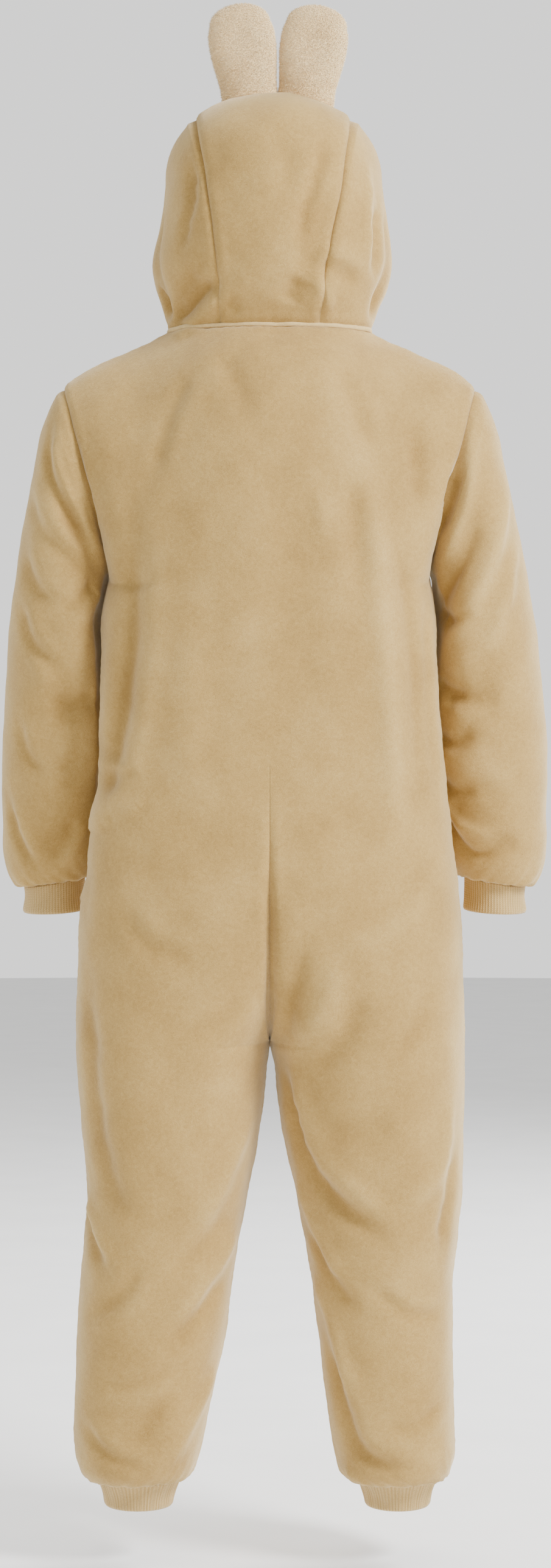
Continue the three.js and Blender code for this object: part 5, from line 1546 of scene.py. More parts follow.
class Cloth:
    """The garment's pieces of fleece, cut over the forms and laid in folds together."""

    CREST_SPAN = 9.0
    CUTS = {
        "back": CutSize(0.64, 1.48, 0.82),
        "front_left": CutSize(0.33, 1.38, 0.42),
        "front_right": CutSize(0.33, 1.38, 0.42),
        "sleeve_left": CutSize(0.51, 0.60, 0.222),
        "sleeve_right": CutSize(0.51, 0.60, 0.222),
        "hood_centre": CutSize(0.19, 0.53, 0.079),
        "hood_side_left": CutSize(0.40, 0.38, 0.063),
        "hood_side_right": CutSize(0.40, 0.38, 0.063),
    }

    def __init__(self) -> None:
        """Cuts every piece over its form."""
        self.body = BodyForm()
        self.sleeve = SleeveForm(self.body)
        self.hood = HoodForm(self.body)
        self.patches: dict[str, Patch] = {}
        self.ids: dict[str, Array] = {}
        self.objects: dict[str, bpy.types.Object] = {}
        self._cut_back()
        for side in Side:
            self._cut_side(side)
        self._cut_hood()

    def _cut_back(self) -> None:
        """Cuts the back, whose two halves are one piece down to the rise."""
        patch = Patch("back")
        shared = None
        for side in Side:
            grid = self.body.half_panel(side, Face.BACK, self.sleeve.armhole(side, Face.BACK))
            heights = grid[:, 0, 2]
            sewn = heights < RISE_TOP_Z - 0.5
            seams = {"top": True, "last": True, "bottom": True, "first": sewn}
            ids = patch.add_grid(grid, side is Side.LEFT, seams=seams, shared=shared, gathered=True)
            self.ids[f"back_{side.word}"] = ids
            shared = np.where(sewn, -1, ids[:, 0])
        place = patch.keep_used()
        for side in Side:
            self.ids[f"back_{side.word}"] = place[self.ids[f"back_{side.word}"]]
        self.patches["back"] = patch

    def _cut_side(self, side: Side) -> None:
        """Cuts one front and one sleeve."""
        front = Patch(f"front_{side.word}")
        grid = self.body.half_panel(side, Face.FRONT, self.sleeve.armhole(side, Face.FRONT))
        seams = {"top": True, "last": True, "bottom": True, "first": True}
        self.ids[front.name] = front.add_grid(grid, side is Side.RIGHT, seams=seams, gathered=True)
        self.patches[front.name] = front
        sleeve = Patch(f"sleeve_{side.word}")
        seams = {"top": True, "bottom": True}
        grid = self.sleeve.grid(side)
        self.ids[sleeve.name] = sleeve.add_grid(
            grid, side is Side.RIGHT, wrap=True, seams=seams, gathered=True,
        )
        self.patches[sleeve.name] = sleeve

    def _cut_hood(self) -> None:
        """Cuts the hood's centre strip and its two sides."""
        centre = Patch("hood_centre")
        grid = self.hood.strip_grid()
        seams = {"top": True, "first": True, "last": True}
        self.ids["hood_centre"] = centre.add_grid(grid, False, seams=seams)
        self.patches["hood_centre"] = centre
        for side in Side:
            patch = Patch(f"hood_side_{side.word}")
            seams = {"top": True, "first": True, "last": True}
            self.ids[patch.name] = patch.add_grid(self.hood.side_grid(side), side is Side.RIGHT, seams=seams)
            self.patches[patch.name] = patch

    def settle(self) -> None:
        """Lays in the large folds, then the seams and the finer creases."""
        order = list(self.patches.values())
        relief = Relief(order)
        height = relief.points[:, 2]
        depth = relief.points[:, 1]
        hood = np.concatenate([np.full(len(p.points), p.name.startswith("hood")) for p in order])
        sleeve = np.concatenate([np.full(len(p.points), p.name.startswith("sleeve")) for p in order])
        rise = (height < RISE_TOP_Z) & (height > CROTCH_Z - 40)
        across = np.abs(relief.points[:, 0])
        calm = np.where(rise, smooth(across / 26), 1.0)
        calm *= np.where((depth < 0) & (height > ZIP_FOOT_Z), smooth((across - ZIP_HALF) / 26), 1.0)
        body = calm * smooth((height - LEG_HEM_Z) / 40) * smooth((-100 - height) / 60) * ~hood * ~sleeve
        for fold in LARGE_FOLDS:
            line, facing = relief.placed(fold)
            relief.fold(line, facing, fold.width, fold.height, fold.lip, body)
        arm = smooth((height + 683) / 36) * sleeve
        for side in Side:
            own = arm * (relief.points[:, 0] * side.value > 0)
            for k in SLEEVE_FOLDS.key:
                row = {name: float(SLEEVE_FOLDS.at(name, k)) for name in SLEEVE_FOLDS.columns}
                start = self.sleeve.ring(side, row["ring"], np.array([row["turn"]]))[0]
                end = self.sleeve.ring(side, row["end_ring"], np.array([row["end_turn"]]))[0]
                self._straight(relief, start, end, row, own)
        head = smooth((height - NAPE_Z) / 22) * smooth((depth + 75) / 40) * hood
        for k in HOOD_FOLDS.key:
            row = {name: float(HOOD_FOLDS.at(name, k)) for name in HOOD_FOLDS.columns}
            start = self._hood_place(row["z"], row["turn"])
            end = self._hood_place(row["end_z"], row["end_turn"])
            self._straight(relief, start, end, row, head)
        relief.crest += relief.amount
        relief.settle()
        fine = np.where(relief.points[:, 2] > ZIP_FOOT_Z, smooth((np.abs(relief.points[:, 0]) - 6) / 16), 1.0)
        fine = np.where((relief.points[:, 1] < 0) & ~hood, fine, 1.0)
        for fold in CREASES:
            line, facing = relief.placed(fold)
            relief.fold(line, facing, fold.width, fold.height, fold.lip, fine)
        x, y, z = relief.points.T
        seat = (np.abs(x) < 60) & (y > 0) & (z < RISE_TOP_Z + 60)
        relief.seams(np.where(seat & ~hood, smooth((RISE_TOP_Z - 12 - z) / 130), 1.0))
        relief.unevenness()
        self.normals = dict(zip(self.patches, np.split(relief.normals, relief.breaks())))
        relief.settle()
        self.crests = dict(zip(self.patches, np.split(relief.crest, relief.breaks())))

    @staticmethod
    def _straight(relief: Relief, start: Array, end: Array, row: dict[str, float], calm: Array) -> None:
        """Lays one straight fold between two places."""
        near = [np.argmin(np.linalg.norm(relief.points - place, axis=1)) for place in (start, end)]
        line = np.array([mix(start, end, t) for t in (0.0, 0.5, 1.0)])
        first, last = relief.normals[near]
        facing = np.array([first, unit(relief.normals[near].mean(axis=0)), last])
        relief.fold(line, facing, row["width"], row["height"], 0.0, calm)

    def _hood_place(self, z: float, turn: float) -> Array:
        """The hood's form at a level and a turn round from the centre back."""
        angle = math.pi / 2 * turn
        core = np.array(self.hood.core)
        direction = unit(np.array([[130 * math.sin(angle), 130 * math.cos(angle), z - core[2]]]))
        return self.hood.leaned(self.hood.point(direction))[0]

    def make(self, material: bpy.types.Material) -> None:
        """Makes every piece's closed wall, in place of its solid.

        Args:
            material: the fleece.
        """
        for name, patch in self.patches.items():
            made = walled(f"{name}_cloth", patch, self.normals[name], FLEECE_WALL, material)
            # The fold heights are kept as the crest attribute, from which the fleece paints shade in the
            # troughs and highlight on the ridges.
            layer = made.data.attributes.new("crest", "FLOAT", "POINT")
            crests = np.tile(self.crests[name] / self.CREST_SPAN, 2)
            layer.data.foreach_set("value", crests.astype(np.float32))
            self.objects[name] = garment_piece(made, "fleece", name)

    def line(self, name: str, rows: slice | int, columns: slice | int) -> tuple[Array, Array]:
        """A line of a settled piece's points, with the cloth's normals along it.

        Args:
            name: the piece's grid.
            rows: its rows.
            columns: its columns.

        Returns:
            The points and their normals.
        """
        patch_name = "back" if name.startswith("back_") else name
        ids = self.ids[name][rows, columns]
        return self.patches[patch_name].points[ids], self.normals[patch_name][ids]


@dataclass(frozen=True)
class RibCuff:
    """A rib-knit cuff: a tube whose outer side rises into round ribs."""

    name: str
    centre: tuple[float, float, float]
    half_x: float
    half_y: float
    side: Side
    drop: float
    top_inset: float
    waist: float
    foot_inset: float
    slope: float = 0.0
    lean: float = 0.0
    fore: float = 0.0
    top: float = 0.0
    ribs: int = 66
    rib_height: float = 0.9
    wall: float = 2.4
    steps: int = 5
    levels: int = 20

    def place(self, down: Array, turn: Array, inset: Array) -> Array:
        """A point of the tube.

        Args:
            down: how far below the seam.
            turn: the place round the tube, from 0 to 1.
            inset: how far inside the seam's line.

        Returns:
            The points.
        """
        angle = 2 * math.pi * turn
        across = (self.half_x - inset) * np.cos(angle)
        deep = (self.half_y - inset) * np.sin(angle)
        x, y, z = self.centre
        slope = self.slope * (1 - 0.75 * smooth(down / self.drop))
        return np.stack([
            self.side.value * (x + across), y + deep - down * self.fore,
            z - down + across * slope - deep * self.lean,
        ], axis=-1)

    def make(self, material: bpy.types.Material) -> bpy.types.Object:
        """Knits the cuff.

        Args:
            material: the rib knit.

        Returns:
            The cuff.
        """
        columns = self.ribs * self.steps
        turn = np.arange(columns) / columns
        share = np.linspace(0, 1, self.levels)
        rib = 0.5 + 0.5 * np.cos(2 * math.pi * self.ribs * turn)
        rib = self.rib_height * rib**0.8
        over_lip = 1.3 * (1 - np.sqrt(np.maximum(0, 1 - ((share - 0.86) / 0.14) ** 2)))
        round_lip = np.where(share > 0.86, over_lip, 0)
        round_top = np.where(share < 0.06, 0.5 * (1 - share / 0.06), 0)
        belly = self.waist * 4 * share * (1 - share) + mix(self.top_inset, self.foot_inset, share)
        wave = 0.6 * np.sin(2 * math.pi * 5 * turn[None, :] + 4 * share[:, None])
        wave = wave * np.sin(math.pi * share)[:, None]
        fade = (1 - 0.5 * smooth((share - 0.86) / 0.14))[:, None]
        outer_inset = (belly + round_lip + round_top)[:, None] + self.rib_height - rib[None] * fade + wave
        down = (self.top + share * (self.drop - self.top))[:, None] + 0 * turn[None]
        turns = turn[None] + 0 * down
        outer = self.place(down, turns, outer_inset)
        inner_inset = np.broadcast_to(belly[:, None], down.shape) + self.rib_height + self.wall + wave
        inner = self.place(down, turns, inner_inset)
        count = outer.shape[0] * columns
        ids = np.arange(count).reshape(outer.shape[:2])
        right = np.roll(ids, -1, axis=1)
        quads = np.stack([ids[:-1], ids[1:], right[1:], right[:-1]], axis=-1).reshape(-1, 4)
        top = np.stack([ids[0] + count, ids[0], right[0], right[0] + count], axis=-1)
        foot = np.stack([ids[-1], ids[-1] + count, right[-1] + count, right[-1]], axis=-1)
        faces = np.concatenate([quads, quads[:, ::-1] + count, top, foot])
        if self.side is Side.LEFT:
            faces = faces[:, ::-1]
        points = np.concatenate([outer.reshape(-1, 3), inner.reshape(-1, 3)])
        made = mesh_object(f"{self.name}_knit", points, faces, material)
        places = np.stack([turns, share[:, None] + 0 * turns], axis=-1).reshape(-1, 2)
        self._map(made, np.tile(places, (2, 1)))
        return garment_piece(made, "rib_knit", self.name)

    @staticmethod
    def _map(made: bpy.types.Object, places: Array) -> None:
        """Lays the knit's map round the tube, whose last column runs on past the first."""
        mesh = made.data
        corner_points = np.zeros(len(mesh.loops), dtype=int)
        mesh.loops.foreach_get("vertex_index", corner_points)
        uv = places[corner_points].copy()
        starts = np.zeros(len(mesh.polygons), dtype=int)
        mesh.polygons.foreach_get("loop_start", starts)
        for start in starts:
            quad = uv[start:start + 4]
            if quad[:, 0].max() - quad[:, 0].min() > 0.5:
                quad[:, 0] = np.where(quad[:, 0] < 0.5, quad[:, 0] + 1, quad[:, 0])
        layer = mesh.uv_layers.new(name="knit")
        layer.data.foreach_set("uv", uv.ravel())


class Cuffs:
    """The four rib-knit cuffs."""

    CUTS = {"wrist": CutSize(0.27, 0.036, 0.0096), "ankle": CutSize(0.34, 0.036, 0.0117)}

    def __init__(self, cloth: Cloth) -> None:
        """Takes the cuffs' seams from the cloth's forms.

        Args:
            cloth: the garment's cloth.
        """
        self.parts: list[tuple[str, RibCuff]] = []
        for side in Side:
            rings = cloth.sleeve.rings
            hem = {name: float(rings.at(name, 14)) for name in rings.columns}
            half = (hem["outer_x"] - hem["inner_x"]) / 2
            centre = (
                (hem["outer_x"] + hem["inner_x"]) / 2 + cloth.sleeve.reach(side), hem["centre_y"],
                (hem["outer_z"] + hem["inner_z"]) / 2,
            )
            self.parts.append(("wrist", RibCuff(
                f"wrist_cuff_{side.word}", centre, half, hem["depth"], side, drop=36, top_inset=1.0,
                waist=1.5, foot_inset=-1, slope=(hem["outer_z"] - hem["inner_z"]) / (2 * half),
                lean=hem["lean"], fore=0.1, top=-1.5,
            )))
            leg = cloth.body.half_section(side, LEG_HEM_Z)
            centre = (float(leg["centre"]), float(leg["back_y"] + leg["front_y"]) / 2, LEG_HEM_Z)
            self.parts.append(("ankle", RibCuff(
                f"ankle_cuff_{side.word}", centre, float(leg["outer_half"] + leg["inner_half"]) / 2,
                float(leg["back_y"] - leg["front_y"]) / 2, side, drop=LEG_HEM_Z - ANKLE_CUFF_END_Z,
                top_inset=1.0, waist=2.5, foot_inset=12, top=-1.5, ribs=84,
            )))

    def make(self, material: bpy.types.Material) -> None:
        """Knits every cuff."""
        for kind, cuff in self.parts:
            made = cuff.make(material)


def grown(name: str, carrier: bpy.types.Object, tree: bpy.types.NodeTree,
          settings: dict[str, object]) -> bpy.types.Object:
    """Runs a Geometry Nodes tree on an object and keeps the result as a plain mesh.

    Args:
        name: the new piece's name.
        carrier: the object that the tree runs on.
        tree: the tree.
        settings: its named inputs.

    Returns:
        The new piece, with no modifier on either.
    """
    modifier = carrier.modifiers.new("grown", "NODES")
    modifier.node_group = tree
    for item in tree.interface.items_tree:
        if item.item_type == "SOCKET" and item.in_out == "INPUT" and item.name in settings:
            modifier[item.identifier] = settings[item.name]
    carrier.update_tag()
    graph = bpy.context.evaluated_depsgraph_get()
    mesh = bpy.data.meshes.new_from_object(carrier.evaluated_get(graph), depsgraph=graph)
    carrier.modifiers.remove(modifier)
    mesh.name = name
    made = bpy.data.objects.new(name, mesh)
    bpy.context.scene.collection.objects.link(made)
    return made


class GrowingTree(Recipe):
    """A Geometry Nodes tree with named inputs and one geometry output."""

    def __init__(self, name: str, inputs: dict[str, tuple[str, object]]) -> None:
        """Starts the tree.

        Args:
            name: the tree's name.
            inputs: each input's socket type and first value, by name.
        """
        super().__init__(bpy.data.node_groups.new(name, "GeometryNodeTree"))
        sockets = self.tree.interface
        sockets.new_socket("Geometry", in_out="INPUT", socket_type="NodeSocketGeometry")
        for label, (kind, value) in inputs.items():
            socket = sockets.new_socket(label, in_out="INPUT", socket_type=kind)
            if value is not None:
                socket.default_value = value
        sockets.new_socket("Geometry", in_out="OUTPUT", socket_type="NodeSocketGeometry")
        self.given = self.node("NodeGroupInput").outputs

    def finish(self, instances: bpy.types.NodeSocket) -> bpy.types.NodeTree:
        """Ends the tree with real geometry and its finish."""
        real = self.node("GeometryNodeRealizeInstances", None, {0: instances})
        dressed = self.node("GeometryNodeSetMaterial", None, {
            "Geometry": real.outputs[0], "Material": self.given["Finish"],
        })
        self.node("NodeGroupOutput", None, {0: dressed.outputs[0]})
        return self.tree


def row_tree() -> bpy.types.NodeTree:
    """Copies of one small piece along a path, turned to the path and to the cloth beside it."""
    tree = GrowingTree("row_along_path", {
        "Piece": ("NodeSocketObject", None), "Step": ("NodeSocketFloat", 0.002),
        "Finish": ("NodeSocketMaterial", None),
    })
    curve = tree.node("GeometryNodeMeshToCurve", None, {"Mesh": tree.given["Geometry"]})
    even = tree.node("GeometryNodeResampleCurve", None, {"Curve": curve.outputs[0]})
    if "Mode" in even.inputs and even.inputs["Mode"].type == "MENU":
        even.inputs["Mode"].default_value = "Length"
    else:
        even.mode = "LENGTH"
    tree.join(tree.given["Step"], even.inputs["Length"])
    tangent = tree.node("GeometryNodeInputTangent")
    facing = tree.node("GeometryNodeInputNamedAttribute", {"data_type": "FLOAT_VECTOR"}, {"Name": "facing"})
    upright = tree.node("FunctionNodeAlignRotationToVector", {"axis": "Z"}, {"Vector": tangent.outputs[0]})
    turned = tree.node("FunctionNodeAlignRotationToVector", {"axis": "Y", "pivot_axis": "Z"}, {
        "Rotation": upright.outputs[0], "Vector": facing.outputs[0],
    })
    piece = tree.node(
        "GeometryNodeObjectInfo", {"transform_space": "ORIGINAL"}, {"Object": tree.given["Piece"]},
    )
    placed = tree.node("GeometryNodeInstanceOnPoints", None, {
        "Points": even.outputs[0], "Instance": piece.outputs["Geometry"], "Rotation": turned.outputs[0],
    })
    return tree.finish(placed.outputs[0])


def pile_tree() -> bpy.types.NodeTree:
    """Short tufts all over a surface, leaning a little every way."""
    tree = GrowingTree("plush_pile", {
        "Tuft": ("NodeSocketObject", None), "Density": ("NodeSocketFloat", 100000.0),
        "Seed": ("NodeSocketInt", 1), "Lean": ("NodeSocketFloat", 0.6),
        "Shortest": ("NodeSocketFloat", 0.6), "Longest": ("NodeSocketFloat", 1.2),
        "Finish": ("NodeSocketMaterial", None),
    })
    spread = tree.node("GeometryNodeDistributePointsOnFaces", {"distribute_method": "RANDOM"}, {
        "Mesh": tree.given["Geometry"], "Density": tree.given["Density"], "Seed": tree.given["Seed"],
    })
    lean = tree.value(tree.given["Lean"])
    low = tree.node("ShaderNodeCombineXYZ", None, {"X": lean * -1.0, "Y": lean * -1.0, "Z": -3.14})
    high = tree.node("ShaderNodeCombineXYZ", None, {"X": lean, "Y": lean, "Z": 3.14})
    loose = tree.node("FunctionNodeRandomValue", {"data_type": "FLOAT_VECTOR"}, {
        "Min": low.outputs[0], "Max": high.outputs[0], "Seed": tree.given["Seed"],
    })
    turn = tree.node("FunctionNodeEulerToRotation", None, {0: loose.outputs["Value"]})
    leaning = tree.node("FunctionNodeRotateRotation", {"rotation_space": "LOCAL"}, {
        "Rotation": spread.outputs["Rotation"], "Rotate By": turn.outputs[0],
    })
    size = tree.node("FunctionNodeRandomValue", {"data_type": "FLOAT"})
    floats = [socket for socket in size.inputs if socket.type == "VALUE" and socket.enabled]
    tree.join(tree.given["Shortest"], floats[0])
    tree.join(tree.given["Longest"], floats[1])
    tree.join(tree.given["Seed"], size.inputs["Seed"])
    chosen = [socket for socket in size.outputs if socket.enabled][0]
    tuft = tree.node(
        "GeometryNodeObjectInfo", {"transform_space": "ORIGINAL"}, {"Object": tree.given["Tuft"]},
    )
    placed = tree.node("GeometryNodeInstanceOnPoints", None, {
        "Points": spread.outputs["Points"], "Instance": tuft.outputs["Geometry"],
        "Rotation": leaning.outputs[0], "Scale": chosen,
    })
    return tree.finish(placed.outputs[0])


def path_object(points: Array, facing: Array) -> bpy.types.Object:
    """A path of edges that carries the cloth's normals, for a row of small pieces."""
    mesh = bpy.data.meshes.new("path")
    mesh.from_pydata((points * MM).tolist(), [(k, k + 1) for k in range(len(points) - 1)], [])
    layer = mesh.attributes.new("facing", "FLOAT_VECTOR", "POINT")
    layer.data.foreach_set("vector", np.asarray(facing, dtype=np.float32).ravel())
    made = bpy.data.objects.new("path", mesh)
    bpy.context.scene.collection.objects.link(made)
    return made


def discard(*objects: bpy.types.Object) -> None:
    """Removes objects that only helped to make others."""
    for made in objects:
        mesh = made.data
        bpy.data.objects.remove(made)
        bpy.data.meshes.remove(mesh)


@dataclass(frozen=True)
class Ear:
    """A stuffed ear of two plush halves that meet in an edge seam."""

    side: Side
    foot_x: float
    tilt: float
    foot_y: float = 2.0
    puff: float = 13.5
    dent: float = 3.6
    dent_height: float = 70.0
    dent_reach: float = 24.0
    tall: float = 114.3
    round_from: float = 92.0
    round_half: float = 36.0
    columns: int = 40
    rows: int = 54
    outline: Table = field(default_factory=lambda: Table(
        "height half",
        ((0, 33.5), (15, 34), (32, 36.5), (49, 39), (64, 40), (79, 39.5), (92, 36), (100, 34)),
    ))

    def half_width(self, height: Array) -> Array:
        """The ear's half-width at a height, closing in a round top."""
        over = np.clip((height - self.round_from) / (self.tall - self.round_from), 0, 1)
        top = self.round_half * (1 - over**1.9) ** 0.5
        return np.where(height < self.round_from, self.outline.at("half", height), top)

    def half(self, crown: "Crown", facing: Face) -> tuple[Array, Array]:
        """One puffed half over the flat plane of the edge seam.

        Args:
            crown: the hood's top, which carries the ear.
            facing: which half.

        Returns:
            The points and faces of a closed mesh.
        """
        rise = np.sin(np.linspace(0, math.pi / 2, self.rows)) ** 1.1
        height = rise * self.tall
        share = np.sin(np.linspace(-math.pi / 2, math.pi / 2, self.columns))
        foot_z = crown.height(self.foot_x, self.foot_y)
        h, s = np.meshgrid(height, share, indexing="ij")
        half = self.half_width(h)
        full = np.sqrt(np.maximum(0, 1 - s * s))
        roof = np.sqrt(np.maximum(0, 1 - (np.maximum(0, h - 56) / (self.tall - 56)) ** 2.4))
        away = np.hypot(h - self.dent_height, half * s) / self.dent_reach
        lumps = 0.5 * np.sin(h / 9 + 2 * s) * np.sin(5 * s + h / 23) * full * roof
        deep = 0.2 + self.puff * full * roof - self.dent * np.exp(-(away**2)) * full + lumps
        layers = []
        for depth in (deep, np.full_like(deep, 0.1)):
            x = self.foot_x + math.sin(self.tilt) * h + math.cos(self.tilt) * half * s
            y = self.foot_y + facing.value * depth
            z = foot_z + math.cos(self.tilt) * h - math.sin(self.tilt) * half * s
            ground = np.array([[crown.height(a, b) for a, b in zip(*pair)] for pair in zip(x, y)]) - 1.0
            level = foot_z - math.sin(self.tilt) * half * s
            z = z + (ground - level) * (1 - smooth(h / 16))
            layers.append(np.stack([x, y, z], axis=-1))
        points, faces = slab(layers)
        return points, faces[:, ::-1] if facing is Face.BACK else faces


class Crown:
    """The top of the settled hood, on which the ears stand."""

    def __init__(self, cloth: Cloth) -> None:
        """Keeps the points near the top.

        Args:
            cloth: the garment's cloth.
        """
        points = cloth.patches["hood_centre"].points
        self.points = points[points[:, 2] > 215]

    def height(self, x: float, y: float) -> float:
        """The cloth's height near a place, from the few nearest points."""
        distance = np.hypot(self.points[:, 0] - x, self.points[:, 1] - y)
        near = np.argsort(distance)[:4]
        weight = 1 / (distance[near] + 0.5)
        return float((self.points[near, 2] * weight).sum() / weight.sum())


class Ears:
    """Both ears, with their pile."""

    PAIR = (Ear(Side.LEFT, 24.0, 0.14), Ear(Side.RIGHT, -43.5, -0.15))
    DENSITY = 1050000.0
    TUFT_LENGTH = 2.3

    def make(self, cloth: Cloth, plush: bpy.types.Material, pile: bpy.types.Material) -> None:
        """Builds the ears on the crown.

        Args:
            cloth: the garment's cloth.
            plush: the finish under the pile.
            pile: the pile's finish.
        """
        crown = Crown(cloth)
        tree = pile_tree()
        tuft = self._tuft(pile)
        for ear in self.PAIR:
            for facing in Face:
                points, faces = ear.half(crown, facing)
                node = f"ear_{facing.name.lower()}_{ear.side.word}"
                half = mesh_object(f"{node}_plush", points, faces, plush)
                hair = grown(f"{node}_pile", half, tree, {
                    "Tuft": tuft, "Density": self.DENSITY, "Seed": 11 + ear.side.value + 3 * facing.value,
                    "Lean": 0.55, "Shortest": 0.55, "Longest": 1.15, "Finish": pile,
                })
                garment_piece(half, "ear_plush", node)
                garment_piece(hair, "ear_plush")
        discard(tuft)

    def _tuft(self, pile: bpy.types.Material) -> bpy.types.Object:
        """One closed tuft, a thin leaning spike of three sides."""
        angle = 2 * math.pi * np.arange(3) / 3
        foot = np.stack([0.4 * np.cos(angle), 0.4 * np.sin(angle), 0 * angle - 0.4], axis=-1)
        tip = np.array([[0.7, 0.1, self.TUFT_LENGTH]])
        faces = [[2, 1, 0], [0, 1, 3], [1, 2, 3], [2, 0, 3]]
        return mesh_object("tuft", np.concatenate([foot, tip]), faces, pile)


class Zip:
    """The front zip: woven tapes, a nylon coil, stops and the topstitching beside it."""

    TAPE_WALL = 0.7
    COIL_PITCH = 0.0021
    STITCH_STEP = 0.0036

    def __init__(self, cloth: Cloth) -> None:
        """Follows the closed front edge from the foot of the zip up to the chin.

        Args:
            cloth: the garment's cloth.
        """
        self.cloth = cloth
        front, facing = cloth.line("front_left", slice(None), 0)
        kept = front[:, 2] > ZIP_FOOT_Z - 1
        chin, chin_facing = cloth.line("hood_side_left", slice(None, None, -1), -1)
        points = np.concatenate([chin, front[kept][1:]])
        facing = np.concatenate([chin_facing, facing[kept][1:]])
        points[:, 0] = 0.0
        facing[:, 0] = 0.0
        shares = np.linspace(0, 1, 160)
        run = running_length(points) / running_length(points)[-1]
        self.facing = unit(np.stack([np.interp(shares, run, facing[:, k]) for k in range(3)], axis=-1))
        self.path = along_line(points, shares) + self.facing * 1.9

    def make(self, tape: bpy.types.Material, nylon: bpy.types.Material, metal: bpy.types.Material,
             thread: bpy.types.Material) -> None:
        """Builds the zip and its stitching.

        Args:
            tape: the tape's finish.
            nylon: the coil's finish.
            metal: the finish of the stops, slider and pull.
            thread: the stitching's finish.
        """
        base = self._tape(tape)
        garment_piece(base, "zip_tape", "zip_chain")
        rows = row_tree()
        tooth = self._tooth(nylon)
        path = path_object(self.path - self.facing * 1.0, self.facing)
        coil = grown("zip_coil", path, rows, {"Piece": tooth, "Step": self.COIL_PITCH, "Finish": nylon})
        garment_piece(coil, "zip_tape")
        stops = self._stops(metal)
        garment_piece(stops, "zip_metal")
        stitch = self._stitch(thread)
        seams = []
        for side in Side:
            for column in (5, 7):
                points, facing = self.cloth.line(f"front_{side.word}", slice(1, None), column)
                kept = points[:, 2] > ZIP_FOOT_Z
                seams.append((f"zip_stitch_{side.word}_{column}", points[kept], facing[kept]))
        for side in Side:
            points, facing = self.cloth.line(f"hood_side_{side.word}", -5, slice(None))
            seams.append((f"face_hem_stitch_{side.word}", points, facing))
        points, facing = self.cloth.line("hood_centre", -5, slice(None))
        seams.append(("forehead_stitch", points, facing))
        for name, points, facing in seams:
            line = path_object(points + facing * 0.15, facing)
            made = grown(name, line, rows, {"Piece": stitch, "Step": self.STITCH_STEP, "Finish": thread})
            garment_piece(made, "fleece")
            discard(line)
        discard(path, tooth, stitch)

    def _tape(self, material: bpy.types.Material) -> bpy.types.Object:
        """Both halves of the tape as one thin strip under the coil."""
        left = [self._behind(Side.LEFT, column) for column in (3, 2)]
        right = [self._behind(Side.RIGHT, column) for column in (2, 3)]
        middle = []
        for over, sunk in ((3.0, 2.4), (0.0, 2.1), (-3.0, 2.4)):
            middle.append(self.path - self.facing * sunk + np.array([over, 0.0, 0.0]))
        outer = np.stack(left + middle + right, axis=1)
        points, faces = slab([outer, outer - self.facing[:, None] * self.TAPE_WALL])
        return mesh_object("zip_tape", points, faces, material)

    def _behind(self, side: Side, column: int) -> Array:
        """A line on the cloth's inner face beside the zip, from the chin down to the foot."""
        front, facing = self.cloth.line(f"front_{side.word}", slice(None), column)
        kept = front[:, 2] > ZIP_FOOT_Z - 1
        chin, chin_facing = self.cloth.line(f"hood_side_{side.word}", slice(None, None, -1), -1 - column)
        inner = np.concatenate([
            chin - chin_facing * FLEECE_WALL, front[kept][1:] - facing[kept][1:] * FLEECE_WALL,
        ])
        run = running_length(self.path) / running_length(self.path)[-1]
        return along_line(inner, run)

    @staticmethod
    def _rounded(size: tuple[float, float, float], middle: tuple[float, float, float],
                 cut: float) -> tuple[Array, list]:
        """A small block with its upper edges cut off, facing +Y."""
        w, h, d = size[0] / 2, size[1], size[2] / 2
        rings = [(0.0, w, d), (h - cut, w, d), (h, w - cut, d - cut)]
        points = []
        for y, a, b in rings:
            points += [(-a, y, -b), (a, y, -b), (a, y, b), (-a, y, b)]
        faces = [[3, 2, 1, 0], [8, 9, 10, 11]]
        for row in range(2):
            for k in range(4):
                d2 = (k + 1) % 4
                faces.append([row * 4 + k, row * 4 + d2, row * 4 + 4 + d2, row * 4 + 4 + k])
        return np.array(points) + np.array(middle), [face[::-1] for face in faces]

    def _tooth(self, material: bpy.types.Material) -> bpy.types.Object:
        """A pair of interlocked teeth, one from each side, half a pitch apart."""
        points, faces = [], []
        for sign in (1, -1):
            block, quads = self._rounded((3.0, 1.15, 0.72), (sign * 1.0, -0.9, sign * 0.52), 0.26)
            faces += [[k + len(points) for k in quad] for quad in quads]
            points += block.tolist()
        return mesh_object("tooth", np.array(points), faces, material)

    def _stitch(self, material: bpy.types.Material) -> bpy.types.Object:
        """One short stitch that lies on the cloth."""
        points, faces = self._rounded((0.75, 0.42, 2.6), (0.0, -0.1, 0.0), 0.2)
        return mesh_object("stitch", points, faces, material)

    def _stops(self, material: bpy.types.Material) -> bpy.types.Object:
        """The metal stop at the foot of the zip and the two at its top."""
        points, faces = [], []
        foot = self.path[-2]
        for x, place, size in ((0.0, foot, (6.2, 1.9, 3.0)), (2.4, self.path[2], (2.2, 1.6, 3.4)),
                               (-2.4, self.path[2], (2.2, 1.6, 3.4))):
            block, quads = self._rounded(size, (0, -1.9, 0), 0.5)
            block[:, 1] *= -1
            quads = [quad[::-1] for quad in quads]
            faces += [[k + len(points) for k in quad] for quad in quads]
            points += (block + place + np.array([x, 0.0, 0.0])).tolist()
        return mesh_object("zip_stops", np.array(points), faces, material)


